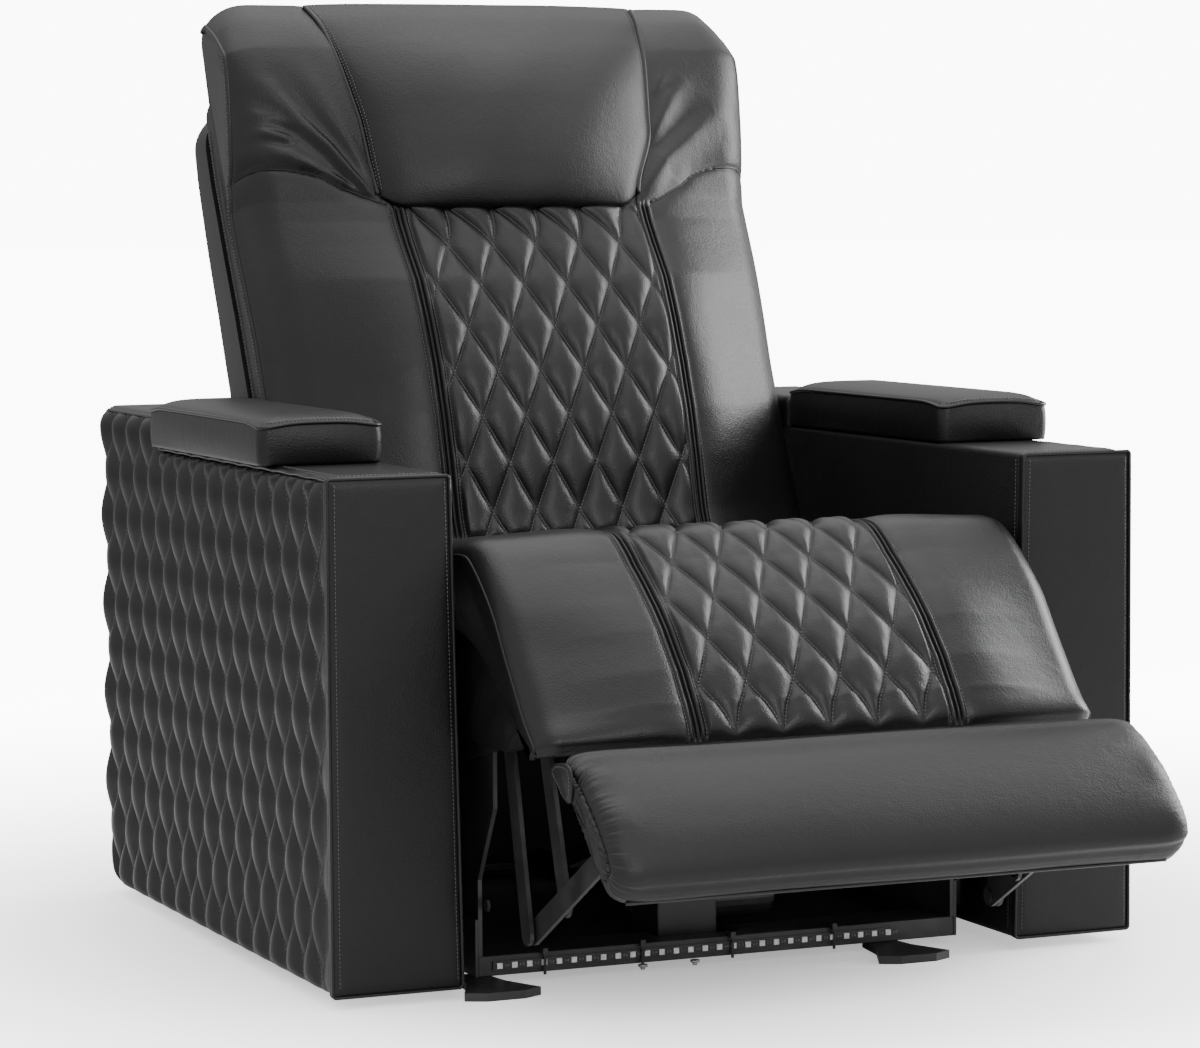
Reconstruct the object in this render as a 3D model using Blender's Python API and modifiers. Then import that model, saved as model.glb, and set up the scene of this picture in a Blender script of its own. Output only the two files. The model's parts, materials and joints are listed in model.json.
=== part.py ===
"""Power recliner with quilted leather: frame, arms, seat, back, footrest linkage and motor.

Metres, +Z up.  The chair faces -Y and its middle plane is X = 0.  Right and left are the
sitter's, so the right arm is on the -X side.  While the pieces are made, Y = 0 is the front
of the arms; the last step moves everything so that the origin is under the middle of the
whole chair, on the floor.
"""
import math

import bmesh
import bpy
from mathutils import Matrix, Vector

# Driving dimensions: arms
SEAT_OPENING = 0.655
ARM_WIDTH = 0.1325
ARM_LENGTH = 0.800
ARM_HEIGHT = 0.536
ARM_FLOOR_GAP = 0.012
ARM_FOOT_SPREAD = 0.010
ARM_CORNER = 0.008
ARM_CORNER_REAR = 0.030
REAR_ARM_RISE = 0.036
FRONT_TOP_LENGTH = 0.188
LID_LENGTH = 0.396
LID_THICKNESS = 0.055
LID_CROWN = 0.005
LID_OVERHANG = 0.004
WELL_WALL = 0.018
WELL_DEPTH = 0.170
BIN_WALL = 0.003
QUILT_PAD = 0.012
QUILT_PUFF = 0.006
QUILT_EDGE = 0.016
SIDE_QUILT_COLUMNS = 14
SIDE_QUILT_ROWS = 5

# Driving dimensions: quilting and the bands beside it
QUILT_COLUMNS = 5
BAND_HALF_WIDTH = 0.139
BAND_WIDTH = 0.019
BAND_HEIGHT = 0.003
DIAMOND_LENGTH = 0.105
CUSHION_PUFF = 0.007

# Driving dimensions: seat
SEAT_HEIGHT = 0.463
SEAT_LIP_HEIGHT = 0.268
SEAT_UNDER_RISE = 0.195
SEAT_REACH = 0.183
SEAT_REAR = 0.420
SEAT_CROWN = 0.023
SEAT_SIDE_GAP = 0.017
SEAT_EDGE_RADIUS = 0.026
SEAT_FRAME_BOTTOM = 0.262
BOARD_THICKNESS = 0.0175
BOARD_INSET = 0.0085
FRONT_BOARD_THICKNESS = 0.014
DECK_THICKNESS = 0.006

# Driving dimensions: back
BACK_TOP = 1.036
BACK_BOTTOM = 0.430
BACK_SIDE_GAP = 0.0085
BACK_EDGE_RADIUS = 0.040
BACK_SIDE_RECESS = 0.075
BACK_BULGE = 0.017
BACK_FRAME_TOP = 0.930
BACK_FRAME_DEPTH = 0.058
BACK_PANEL_DEPTH = 0.085
BACK_PANEL_TOP = 0.905
BACK_FRAME_BOTTOM = 0.395
PILLOW_BOTTOM = 0.797
PILLOW_DEPTH = 0.034
PILLOW_HALF_BOTTOM = 0.170
PILLOW_HALF_TOP = 0.204

# Driving dimensions: footrest pad, in its own plane
FOOTREST_TILT = 42.0
PAD_SIDE_GAP = 0.0135
PAD_REAR = 0.075
PAD_FRONT = 0.097
PAD_CROWN = 0.076
PAD_UNDERSIDE = 0.0155
PAD_EDGE_RADIUS = 0.018
PAD_BOARD_THICKNESS = 0.011
PAD_BOARD_INSET = 0.018

# Driving dimensions: linkage, as places in the side view
DRIVE_PIVOT = (0.0, 0.275)
KNEE_PIVOT = (-0.048, 0.072)
PAD_PIVOT = (-0.268, 0.199)
STAY_PIVOT = (-0.0514, 0.3016)
STAY_SHARE = 0.3
BACK_PIVOT = (0.500, 0.300)
PLATE_THICKNESS = 0.0045
LAYER_PITCH = 0.007
LINK_HALF_WIDTH = 0.012
PIN_RADIUS = 0.0050
STAY_PIN_RADIUS = 0.0035
STAY_PIN_PLAY = 0.0050
PIN_HEAD = 0.0020
TORQUE_TUBE_RADIUS = 0.0105
CRANK_LENGTH = 0.100
GLIDE_FORWARD = 0.031
GLIDE_BACKWARD = 0.010
ROLLER_RADIUS = 0.009
ROLLER_FRONT = 0.095
ROLLER_REAR = 0.400
ROLLER_DROP = 0.0225

# Driving dimensions: base
RAIL_FRONT = 0.065
RAIL_REAR = 0.660
RAIL_BOTTOM = 0.009
RAIL_HEIGHT = 0.021
RAIL_FLANGE = 0.060
RAIL_NOTCH_DEPTH = 0.036
RAIL_NOTCH_MARGIN = 0.012
DUST_COVER_THICKNESS = 0.0015
RAIL_WALL = 0.003
SIDE_RAIL_HEIGHT = 0.060
BASE_PLATE_FRONT = 0.020
BASE_PLATE_REAR = 0.450
BASE_PLATE_TOP = 0.271
GLIDE_WIDTH = 0.084
GLIDE_LENGTH = 0.095
GLIDE_STEM = 0.018
GLIDE_FRONT_RIGHT_X = -0.279
GLIDE_FRONT_LEFT_X = 0.192
GLIDE_REAR_X = 0.262
STRIP_LEFT_END = -0.262
STRIP_RIGHT_END = 0.200
STRIP_HEIGHT = 0.010
STRIP_THICKNESS = 0.002
ARM_LUG_LENGTH = 0.060
ARM_LUG_HEIGHT = 0.030

# Driving dimensions: motor and actuator
MOTOR_FRONT = 0.120
GEARBOX_DEPTH = 0.070
GEARBOX_BOTTOM = 0.020
GEARBOX_HEIGHT = 0.070
GEARBOX_RIGHT = -0.050
GEARBOX_WIDTH = 0.070
MOTOR_RADIUS = 0.022
MOTOR_LENGTH = 0.070
MOTOR_TUBE_RADIUS = 0.010
MOTOR_TUBE_HEIGHT = 0.292
ACTUATOR_LENGTH = 0.320
CHANNEL_WIDTH = 0.022
CHANNEL_HEIGHT = 0.025
CHANNEL_WALL = 0.002
SCREW_RADIUS = 0.004
NUT_LENGTH = 0.040
NUT_PLACE = 0.370
PUSH_LINK_RISE = 0.015

# Driving dimensions: controls and hinges
CONTROL_FROM_FRONT = 0.110
CONTROL_BELOW_TOP = 0.050
CONTROL_LENGTH = 0.070
CONTROL_HEIGHT = 0.028
CONTROL_PLATE = 0.0025
BUTTON_LENGTH = 0.020
BUTTON_HEIGHT = 0.012
BUTTON_PROUD = 0.0035
BUTTON_BODY = 0.008
POCKET_DEPTH = 0.014
HINGE_RADIUS = 0.0025
HINGE_PIN_RADIUS = 0.0012
HINGE_LEAF = 0.012
INLET_WIDTH = 0.034
INLET_HEIGHT = 0.018
INLET_DEPTH = 0.016
INLET_BORE = 0.0045
HINGE_LEAF_THICKNESS = 0.0012
HINGE_KNUCKLES = 5

# Shared clearances
GAP = 0.0003
RUNNING_GAP = 0.0003
SOFT_GAP = 0.0004
CUT_OVERRUN = 0.010
STEEL_BEVEL = 0.0006
WOOD_BEVEL = 0.0015
ROUND_SIDES = 16
PIN_SIDES = 12
CORNER_STEPS = 3

# Places that follow from the driving dimensions
OPENING_HALF = SEAT_OPENING / 2
ARM_OUTER = OPENING_HALF + ARM_WIDTH
LID_FRONT = FRONT_TOP_LENGTH
LID_REAR = LID_FRONT + LID_LENGTH
SEAT_HALF = OPENING_HALF - SEAT_SIDE_GAP
BOARD_OUTER = SEAT_HALF - BOARD_INSET
BOARD_INNER = BOARD_OUTER - BOARD_THICKNESS
SEAT_PLATE_X = BOARD_INNER - GAP - PLATE_THICKNESS / 2
BASE_PLATE_X = SEAT_PLATE_X - LAYER_PITCH
DRIVE_X = BASE_PLATE_X - LAYER_PITCH
LIFT_X = DRIVE_X - LAYER_PITCH
STAY_X = LIFT_X - LAYER_PITCH
RAIL_TOP = RAIL_BOTTOM + RAIL_HEIGHT
SIDE_RAIL_INNER = BASE_PLATE_X + PLATE_THICKNESS / 2 + GAP
SIDE_RAIL_OUTER = SIDE_RAIL_INNER + RAIL_WALL
BACK_HALF = OPENING_HALF - BACK_SIDE_GAP
PAD_HALF = OPENING_HALF - PAD_SIDE_GAP
LINK_HOLE = PIN_RADIUS + RUNNING_GAP

SIDES = (("right", -1.0), ("left", 1.0))

# Side-view outlines, as shares of the cushion's reach and of its rise above the lip
SEAT_TOP_SHARES = ((1.0, 0.67), (0.67, 0.85), (0.46, 0.95), (0.337, 1.0), (0.272, 0.935),
                   (0.182, 0.70), (0.113, 0.44), (0.045, 0.19), (0.010, 0.09), (0.0, 0.02))
SEAT_UNDER_SHARES = ((0.020, 0.0), (0.075, 0.075), (0.135, 0.20), (0.25, 0.43), (0.36, 0.53),
                     (0.50, 0.525), (0.75, 0.42), (0.985, 0.29), (1.0, 0.35))
# How far the seat's middle stands out from its sides, against the reach share
SEAT_CROWN_SHARES = ((0.0, 0.50), (0.03, 0.87), (0.078, 1.0), (0.132, 0.83), (0.18, 0.43),
                     (0.241, 0.15), (0.282, 0.15), (0.378, 0.22), (0.6, 0.15), (1.0, 0.0))
# How far the back's middle bulges, against the height share
BACK_BULGE_SHARES = ((0.0, -0.35), (0.04, -0.23), (0.135, 0.47), (0.216, 0.88), (0.302, 1.0),
                     (0.381, 0.88), (0.464, 0.59), (0.535, 0.24), (0.63, 0.0), (1.0, 0.0))
BACK_FLAT_SHARE = 0.40
HEAD_START, HEAD_FULL = 0.47, 0.58
BACK_LEAN = 0.370
BACK_FRONT_FOOT = 0.424

# Back outlines in the side view, as shares of the back's height and of its lean
BACK_FRONT_SHARES = ((0.0, 0.0), (0.055, 0.062), (0.187, 0.246), (0.316, 0.432), (0.459, 0.607),
                     (0.535, 0.70), (0.625, 0.80), (0.72, 0.89), (0.83, 0.965), (0.93, 1.0))
BACK_REAR_SHARES = ((1.0, 0.985), (1.02, 0.93), (0.99, 0.85), (0.86, 0.66), (0.73, 0.51),
                    (0.63, 0.40), (0.515, 0.257), (0.40, 0.09), (0.27, -0.035), (0.11, -0.045))

pivots = {}


def clear_scene():
    """Start from an empty scene."""
    for thing in list(bpy.data.objects):
        bpy.data.objects.remove(thing, do_unlink=True)


def make_collection(name):
    """A collection linked to the scene."""
    collection = bpy.data.collections.new(name)
    bpy.context.scene.collection.children.link(collection)
    return collection


def make_material(name, colour, roughness, metallic=0.0):
    """A Principled material with one finish."""
    material = bpy.data.materials.new(name)
    material.use_nodes = True
    shader = material.node_tree.nodes["Principled BSDF"]
    shader.inputs["Base Color"].default_value = (*colour, 1.0)
    shader.inputs["Roughness"].default_value = roughness
    shader.inputs["Metallic"].default_value = metallic
    material.diffuse_color = (*colour, 1.0)
    return material


def make_materials():
    """Every finish that the recliner has."""
    return {
        "leather": make_material("black_leather", (0.020, 0.020, 0.021), 0.38),
        "steel": make_material("black_painted_steel", (0.012, 0.012, 0.013), 0.42, 0.3),
        "wood": make_material("frame_plywood", (0.36, 0.25, 0.15), 0.7),
        "plastic": make_material("black_plastic", (0.015, 0.015, 0.016), 0.5),
        "bright": make_material("bright_steel", (0.55, 0.55, 0.56), 0.35, 1.0),
        "lining": make_material("black_lining_cloth", (0.02, 0.02, 0.02), 0.9),
        "strip": make_material("light_strip", (0.03, 0.03, 0.03), 0.4),
        "button": make_material("button_silver", (0.45, 0.45, 0.46), 0.35, 0.8),
    }


def make_pivot(name, place):
    """An empty on a joint's axis, which the moving pieces are parented to."""
    empty = bpy.data.objects.new(name, None)
    empty.empty_display_size = HINGE_LEAF
    empty.location = place
    parts.objects.link(empty)
    pivots[name] = empty
    return empty


def add_piece(name, mesh, finish, pivot):
    """Put a mesh, made in chair coordinates, on its pivot."""
    carrier = pivots[pivot]
    mesh.transform(Matrix.Translation(-carrier.location))
    mesh.materials.append(materials[finish])
    piece = bpy.data.objects.new(name, mesh)
    piece.parent = carrier
    parts.objects.link(piece)
    return piece


def add_cutter(name, mesh, pivot):
    """A helper shape for a Boolean, kept out of the model."""
    carrier = pivots[pivot]
    mesh.transform(Matrix.Translation(-carrier.location))
    cutter = bpy.data.objects.new(name, mesh)
    cutter.parent = carrier
    cutter.hide_render = True
    cutter.display_type = "WIRE"
    cutters.objects.link(cutter)
    return cutter


def shape(piece, helper, operation):
    """Join a helper to a piece, or cut it away."""
    boolean = piece.modifiers.new(operation.lower(), "BOOLEAN")
    boolean.operation = operation
    boolean.solver = "EXACT"
    boolean.object = helper


def bevel(piece, width, segments=1):
    """Break a piece's sharp edges."""
    modifier = piece.modifiers.new("edges", "BEVEL")
    modifier.width = width
    modifier.segments = segments
    modifier.limit_method = "ANGLE"
    modifier.angle_limit = math.radians(35.0)


def finish_mesh(form, name):
    """Turn a bmesh into a mesh with its faces out and its round parts smooth."""
    bmesh.ops.recalc_face_normals(form, faces=form.faces)
    mesh = bpy.data.meshes.new(name)
    form.to_mesh(mesh)
    form.free()
    mesh.shade_smooth()
    mesh.set_sharp_from_angle(angle=math.radians(32.0))
    return mesh


def box_mesh(name, low, high):
    """A box between two corners."""
    form = bmesh.new()
    bmesh.ops.create_cube(form, size=1.0)
    size = [top - bottom for bottom, top in zip(low, high)]
    middle = [(top + bottom) / 2 for bottom, top in zip(low, high)]
    bmesh.ops.scale(form, vec=size, verts=form.verts)
    bmesh.ops.translate(form, vec=middle, verts=form.verts)
    return finish_mesh(form, name)


def rod_mesh(name, start, end, radius, sides=ROUND_SIDES):
    """A round bar between two points."""
    start, end = Vector(start), Vector(end)
    form = bmesh.new()
    turn = (end - start).to_track_quat("Z", "Y").to_matrix().to_4x4()
    place = Matrix.Translation((start + end) / 2) @ turn
    bmesh.ops.create_cone(form, cap_ends=True, segments=sides, radius1=radius, radius2=radius,
                          depth=(end - start).length, matrix=place)
    return finish_mesh(form, name)


PLANES = {
    "YZ": Matrix(((0, 0, 1, 0), (1, 0, 0, 0), (0, 1, 0, 0), (0, 0, 0, 1))),
    "XZ": Matrix(((1, 0, 0, 0), (0, 0, -1, 0), (0, 1, 0, 0), (0, 0, 0, 1))),
    "XY": Matrix.Identity(4),
}


def outline_mesh(name, plane, outline, low, high, holes=()):
    """A flat outline with holes, in a plane, given thickness between two distances."""
    curve = bpy.data.curves.new(name, "CURVE")
    curve.dimensions = "2D"
    curve.fill_mode = "BOTH"
    curve.extrude = (high - low) / 2
    for loop in (outline, *holes):
        spline = curve.splines.new("POLY")
        spline.points.add(len(loop) - 1)
        for point, (across, up) in zip(spline.points, loop):
            point.co = (across, up, 0.0, 1.0)
        spline.use_cyclic_u = True
    holder = bpy.data.objects.new(name, curve)
    bpy.context.scene.collection.objects.link(holder)
    bpy.context.view_layer.update()
    evaluated = holder.evaluated_get(bpy.context.evaluated_depsgraph_get())
    mesh = bpy.data.meshes.new_from_object(evaluated)
    bpy.data.objects.remove(holder, do_unlink=True)
    form = bmesh.new()
    form.from_mesh(mesh)
    bmesh.ops.remove_doubles(form, verts=form.verts, dist=0.00001)
    middle = (low + high) / 2
    normal = -middle if plane == "XZ" else middle
    bmesh.ops.transform(form, matrix=PLANES[plane] @ Matrix.Translation((0, 0, normal)),
                        verts=form.verts)
    bpy.data.meshes.remove(mesh)
    return finish_mesh(form, name)


def circle(centre, radius, sides=ROUND_SIDES):
    """Points round a circle."""
    turns = [2 * math.pi * step / sides for step in range(sides)]
    return [(centre[0] + radius * math.cos(turn), centre[1] + radius * math.sin(turn))
            for turn in turns]


def arc(centre, radius, start, end, steps):
    """Points along an arc, angles in degrees."""
    turns = [math.radians(start + (end - start) * step / steps) for step in range(steps + 1)]
    return [(centre[0] + radius * math.cos(turn), centre[1] + radius * math.sin(turn))
            for turn in turns]


def bar_outline(start, end, half_width, steps=6):
    """A flat bar with round ends."""
    heading = math.degrees(math.atan2(end[1] - start[1], end[0] - start[0]))
    return (arc(end, half_width, heading - 90, heading + 90, steps)
            + arc(start, half_width, heading + 90, heading + 270, steps))


def between(start, end, share):
    """A point part of the way from one place to another."""
    return tuple(a + (b - a) * share for a, b in zip(start, end))


def smooth_path(points, spacing):
    """A smooth curve through points, sampled at even steps."""
    padded = [points[0], *points, points[-1]]
    fine_steps = 24
    dense = []
    for index in range(1, len(padded) - 2):
        p0, p1, p2, p3 = (Vector(padded[index + step]) for step in (-1, 0, 1, 2))
        for step in range(fine_steps):
            t = step / fine_steps
            dense.append(0.5 * (2 * p1 + (p2 - p0) * t + (2 * p0 - 5 * p1 + 4 * p2 - p3) * t ** 2
                                + (3 * p1 - p0 - 3 * p2 + p3) * t ** 3))
    dense.append(Vector(points[-1]))
    travelled = [0.0]
    for first, second in zip(dense, dense[1:]):
        travelled.append(travelled[-1] + (second - first).length)
    count = max(2, round(travelled[-1] / spacing))
    samples, cursor = [], 0
    for step in range(count + 1):
        wanted = travelled[-1] * step / count
        while cursor < len(dense) - 2 and travelled[cursor + 1] < wanted:
            cursor += 1
        stretch = max(travelled[cursor + 1] - travelled[cursor], 1e-9)
        share = min(1.0, (wanted - travelled[cursor]) / stretch)
        samples.append(tuple(dense[cursor].lerp(dense[cursor + 1], share)))
    return samples


def path_normals(loop):
    """Outward normals of a closed side-view loop."""
    area = sum(a[0] * b[1] - b[0] * a[1] for a, b in zip(loop, loop[1:] + loop[:1]))
    turn = 1.0 if area > 0 else -1.0
    normals = []
    for index, _ in enumerate(loop):
        before, after = Vector(loop[index - 1]), Vector(loop[(index + 1) % len(loop)])
        along = (after - before).normalized()
        normals.append(Vector((along.y, -along.x)) * turn)
    return normals


def diamond_relief(across, along, width, length):
    """How full a diamond quilt is at a place: 0 on its seams and 1 in its middle."""
    first = math.sin(math.pi * (across / width + along / length))
    second = math.sin(math.pi * (across / width - along / length))
    return math.sqrt(abs(first * second))


def edge_columns(half, radius, steps=CORNER_STEPS):
    """Columns that round a cushion's side, with how far each draws in."""
    columns = []
    for step in range(steps + 1):
        turn = math.pi / 2 * step / steps
        columns.append((half - radius * (1 - math.sin(turn)), radius * (1 - math.cos(turn))))
    return columns


def cushion_columns(half, radius, quilt_half, quilt_steps, plain_steps):
    """Columns across a cushion: quilting, the ridge of each band, plain sides, round edges."""
    middle = [(-quilt_half + 2 * quilt_half * step / quilt_steps, 0.0)
              for step in range(quilt_steps + 1)]
    outer = [(quilt_half + BAND_WIDTH / 2, 0.0), (quilt_half + BAND_WIDTH, 0.0)]
    first, last = quilt_half + BAND_WIDTH, half - radius
    outer += [(first + (last - first) * step / plain_steps, 0.0)
              for step in range(1, plain_steps)]
    outer += edge_columns(half, radius)
    return [(-x, inset) for x, inset in reversed(outer)] + middle + outer


def grid_solid(name, rings, split_by_parity=None):
    """Close a stack of rings, each one column of a cushion, into a solid."""
    form = bmesh.new()
    verts = [[form.verts.new(point) for point in ring] for ring in rings]
    count = len(rings[0])
    for column in range(len(rings) - 1):
        for row in range(count):
            after = (row + 1) % count
            a, b = verts[column][row], verts[column + 1][row]
            c, d = verts[column + 1][after], verts[column][after]
            if split_by_parity and split_by_parity(column, row):
                form.faces.new((a, b, c))
                form.faces.new((a, c, d))
            else:
                form.faces.new((a, b, d))
                form.faces.new((b, c, d))
    form.faces.new(verts[0])
    form.faces.new(list(reversed(verts[-1])))
    return finish_mesh(form, name)


def make_pivots():
    """The chair's own frame and an empty on each joint's axis."""
    make_pivot("chair", (0, 0, 0))
    make_pivot("seat_glide", (0, *BACK_PIVOT))
    make_pivot("back_recline", (0, *BACK_PIVOT))
    make_pivot("footrest_drive", (0, *DRIVE_PIVOT))
    make_pivot("footrest_lift", (0, *KNEE_PIVOT))
    make_pivot("footrest_stay", (0, *STAY_PIVOT))
    make_pivot("footrest_tilt", (0, *PAD_PIVOT))
    make_pivot("actuator_travel", (0, NUT_PLACE, channel_middle()))
    for side, sign in SIDES:
        make_pivot(f"{side}_lid_hinge", (sign * hinge_x(), (LID_FRONT + LID_REAR) / 2, hinge_z()))
    for name, place in button_places().items():
        make_pivot(f"{name}_press", (-OPENING_HALF, place, control_z()))


def channel_middle():
    """Height of the actuator's screw."""
    return GEARBOX_BOTTOM + GEARBOX_HEIGHT / 2 - SCREW_RADIUS


def hinge_x():
    """Distance of a lid's hinge pin from the middle plane."""
    return ARM_OUTER + LID_OVERHANG - HINGE_RADIUS


def hinge_z():
    """Height of a lid's hinge pin."""
    return ARM_HEIGHT + HINGE_RADIUS + GAP


def control_z():
    """Height of the control plate's middle."""
    return ARM_HEIGHT - CONTROL_BELOW_TOP


def button_places():
    """Where the two buttons stand along the control plate."""
    offset = CONTROL_LENGTH / 4
    return {"recline_button": CONTROL_FROM_FRONT - offset,
            "return_button": CONTROL_FROM_FRONT + offset}


def arm_inner(z):
    """The arm's inner face, which spreads towards the floor."""
    return OPENING_HALF - ARM_FOOT_SPREAD * (ARM_HEIGHT - z) / ARM_HEIGHT


def arm_side_outline(inset=0.0):
    """The arm seen from the side: low front, raised rear, round lower rear corner."""
    low, front, rear = ARM_FLOOR_GAP + inset, inset, ARM_LENGTH - inset
    top, rear_top = ARM_HEIGHT - inset, ARM_HEIGHT + REAR_ARM_RISE - inset
    corner = (rear - ARM_CORNER_REAR, low + ARM_CORNER_REAR)
    step = LID_REAR + inset + GAP * 2
    return ([(front, low)] + arc(corner, ARM_CORNER_REAR, 270, 360, CORNER_STEPS)
            + arc((rear - ARM_CORNER, rear_top - ARM_CORNER), ARM_CORNER, 0, 90, CORNER_STEPS)
            + [(step, rear_top), (step, top)]
            + arc((front + ARM_CORNER, top - ARM_CORNER), ARM_CORNER, 90, 180, CORNER_STEPS))


def make_arm(side, sign):
    """One arm: the padded box, its quilted outer pad and its storage bin."""
    outer = ARM_OUTER - QUILT_PAD
    body = outline_mesh(f"{side}_arm_body", "YZ", arm_side_outline(), OPENING_HALF, outer)
    for vertex in body.vertices:
        if vertex.co.x < OPENING_HALF + GAP:
            vertex.co.x = arm_inner(vertex.co.z)
    if sign < 0:
        flip_side(body)
    arm = add_piece(f"{side}_arm_body", body, "leather", "chair")
    band_low = (outer - GAP, 0.0, ARM_FLOOR_GAP)
    band_high = (ARM_OUTER, QUILT_EDGE, ARM_HEIGHT - ARM_CORNER)
    band = add_cutter(f"{side}_front_band", side_box("band", sign, band_low, band_high), "chair")
    shape(arm, band, "UNION")
    well_low, well_high = well_box()
    well = side_box("well", sign, well_low, (*well_high[:2], ARM_HEIGHT + CUT_OVERRUN))
    shape(arm, add_cutter(f"{side}_well", well, "chair"), "DIFFERENCE")
    if side == "right":
        cut_control_pocket(arm)
    make_bin(side, sign)
    make_quilted_pad(side, sign)


def flip_side(mesh):
    """Mirror a mesh to the other side of the chair."""
    mesh.transform(Matrix.Scale(-1.0, 4, (1, 0, 0)))
    mesh.flip_normals()


def side_box(name, sign, low, high):
    """A box on the right or left side, given by distances from the middle plane."""
    mesh = box_mesh(name, low, high)
    if sign < 0:
        flip_side(mesh)
    return mesh


def well_box():
    """The storage well in the arm, as distances from the middle plane."""
    low = (OPENING_HALF + WELL_WALL, LID_FRONT + WELL_WALL, ARM_HEIGHT - WELL_DEPTH)
    high = (ARM_OUTER - QUILT_PAD - WELL_WALL, LID_REAR - WELL_WALL, ARM_HEIGHT)
    return low, high


def bin_box():
    """The outside of the storage bin, which drops into the well."""
    low, high = well_box()
    low = tuple(value + GAP for value in low)
    high = (high[0] - GAP, high[1] - GAP, ARM_HEIGHT - GAP)
    return low, high


def make_bin(side, sign):
    """The plastic bin that lines the storage well."""
    low, high = bin_box()
    storage = add_piece(f"{side}_storage_bin", side_box("bin", sign, low, high), "plastic", "chair")
    inner_low = tuple(value + BIN_WALL for value in low)
    inner_high = (high[0] - BIN_WALL, high[1] - BIN_WALL, high[2] + CUT_OVERRUN)
    hollow = add_cutter(f"{side}_bin_hollow", side_box("hollow", sign, inner_low, inner_high),
                        "chair")
    shape(storage, hollow, "DIFFERENCE")


def make_quilted_pad(side, sign):
    """The quilted pad on the arm's outer side, with its diamonds."""
    inner = ARM_OUTER - QUILT_PAD + GAP
    front, rear = QUILT_EDGE + GAP, ARM_LENGTH
    low = ARM_FLOOR_GAP
    step_y = (rear - front) / (2 * SIDE_QUILT_COLUMNS)
    rings = []
    for column in range(2 * SIDE_QUILT_COLUMNS + 1):
        y = front + step_y * column
        raised = y > LID_REAR
        top = ARM_HEIGHT + (REAR_ARM_RISE if raised else 0.0) - ARM_CORNER
        bottom = low + (ARM_CORNER_REAR if column == 2 * SIDE_QUILT_COLUMNS else 0.0)
        last_row = 2 * SIDE_QUILT_ROWS
        ring = []
        for row in range(last_row + 1):
            z = bottom + (top - bottom) * row / last_row
            inside = 0 < row < last_row and 0 < column < 2 * SIDE_QUILT_COLUMNS
            middle = inside and (row + column) % 2 == 1
            depth = 0.0 if middle else QUILT_PUFF if inside else QUILT_PAD / 2
            ring.append((sign * (ARM_OUTER - depth), y, z))
        ring.append((sign * inner, y, top))
        ring.append((sign * inner, y, bottom))
        rings.append(ring)
    mesh = grid_solid(f"{side}_quilted_pad", rings, lambda column, row: (row + column) % 2 == 0)
    add_piece(f"{side}_quilted_pad", mesh, "leather", "chair")


def make_lid(side, sign):
    """A padded storage lid with its panel, and the hinge that it turns on."""
    pivot = f"{side}_lid_hinge"
    low_z = hinge_z() + HINGE_RADIUS + GAP
    inner, outer = OPENING_HALF, ARM_OUTER + LID_OVERHANG
    front, rear = LID_FRONT + GAP, LID_REAR - GAP
    rows, columns = 8, 5
    rings = []
    for row in range(rows + 1):
        y = front + (rear - front) * row / rows
        lengthwise = 1 - abs(2 * row / rows - 1) ** 4
        pull = ARM_CORNER * (1 - lengthwise) / 3
        top = []
        for column in range(columns + 1):
            share = column / columns
            x = inner + pull + (outer - inner - 2 * pull) * share
            crown = LID_CROWN * lengthwise * (1 - abs(2 * share - 1) ** 3)
            top.append((sign * x, y, ARM_HEIGHT + LID_THICKNESS - LID_CROWN + crown
                        - (ARM_CORNER / 2 if column in (0, columns) else 0.0)))
        below = [(sign * (outer - pull), y, low_z), (sign * (inner + pull), y, low_z)]
        rings.append(top + below)
    add_piece(f"{side}_lid_pad", grid_solid(f"{side}_lid_pad", rings), "leather", pivot)
    make_lid_panel(side, sign, pivot, low_z)
    make_hinge_leaf(side, sign)


def knuckle_spans():
    """The hinge's knuckles along the lid, each with the running gap at its ends."""
    length = LID_LENGTH - 2 * WELL_WALL
    start = LID_FRONT + WELL_WALL
    step = length / HINGE_KNUCKLES
    return [(start + step * index + RUNNING_GAP, start + step * (index + 1) - RUNNING_GAP)
            for index in range(HINGE_KNUCKLES)]


def make_lid_panel(side, sign, pivot, top):
    """The board under the lid pad, with the lid's own knuckles on its outer edge."""
    low_well = well_box()[0]
    inner = low_well[0]
    edge = hinge_x() - HINGE_RADIUS - RUNNING_GAP * 2
    panel_low = (inner, LID_FRONT + WELL_WALL, ARM_HEIGHT + GAP)
    panel_high = (edge, LID_REAR - WELL_WALL, top - GAP)
    panel = add_piece(f"{side}_lid_panel", side_box("panel", sign, panel_low, panel_high),
                      "lining", pivot)
    x, z = sign * hinge_x(), hinge_z()
    for index, (start, end) in enumerate(knuckle_spans()):
        if index % 2 == 1:
            knuckle = rod_mesh("knuckle", (x, start, z), (x, end, z), HINGE_RADIUS)
            shape(panel, add_cutter(f"{side}_lid_knuckle_{index}", knuckle, pivot), "UNION")
            web = side_box("web", sign, (edge - GAP, start, z - HINGE_LEAF_THICKNESS / 2),
                           (hinge_x(), end, z + HINGE_LEAF_THICKNESS / 2))
            shape(panel, add_cutter(f"{side}_lid_web_{index}", web, pivot), "UNION")
    bore_low, bore_high = LID_FRONT, LID_REAR
    bore = rod_mesh("bore", (x, bore_low, z), (x, bore_high, z), HINGE_PIN_RADIUS + RUNNING_GAP)
    shape(panel, add_cutter(f"{side}_lid_bore", bore, pivot), "DIFFERENCE")


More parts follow.
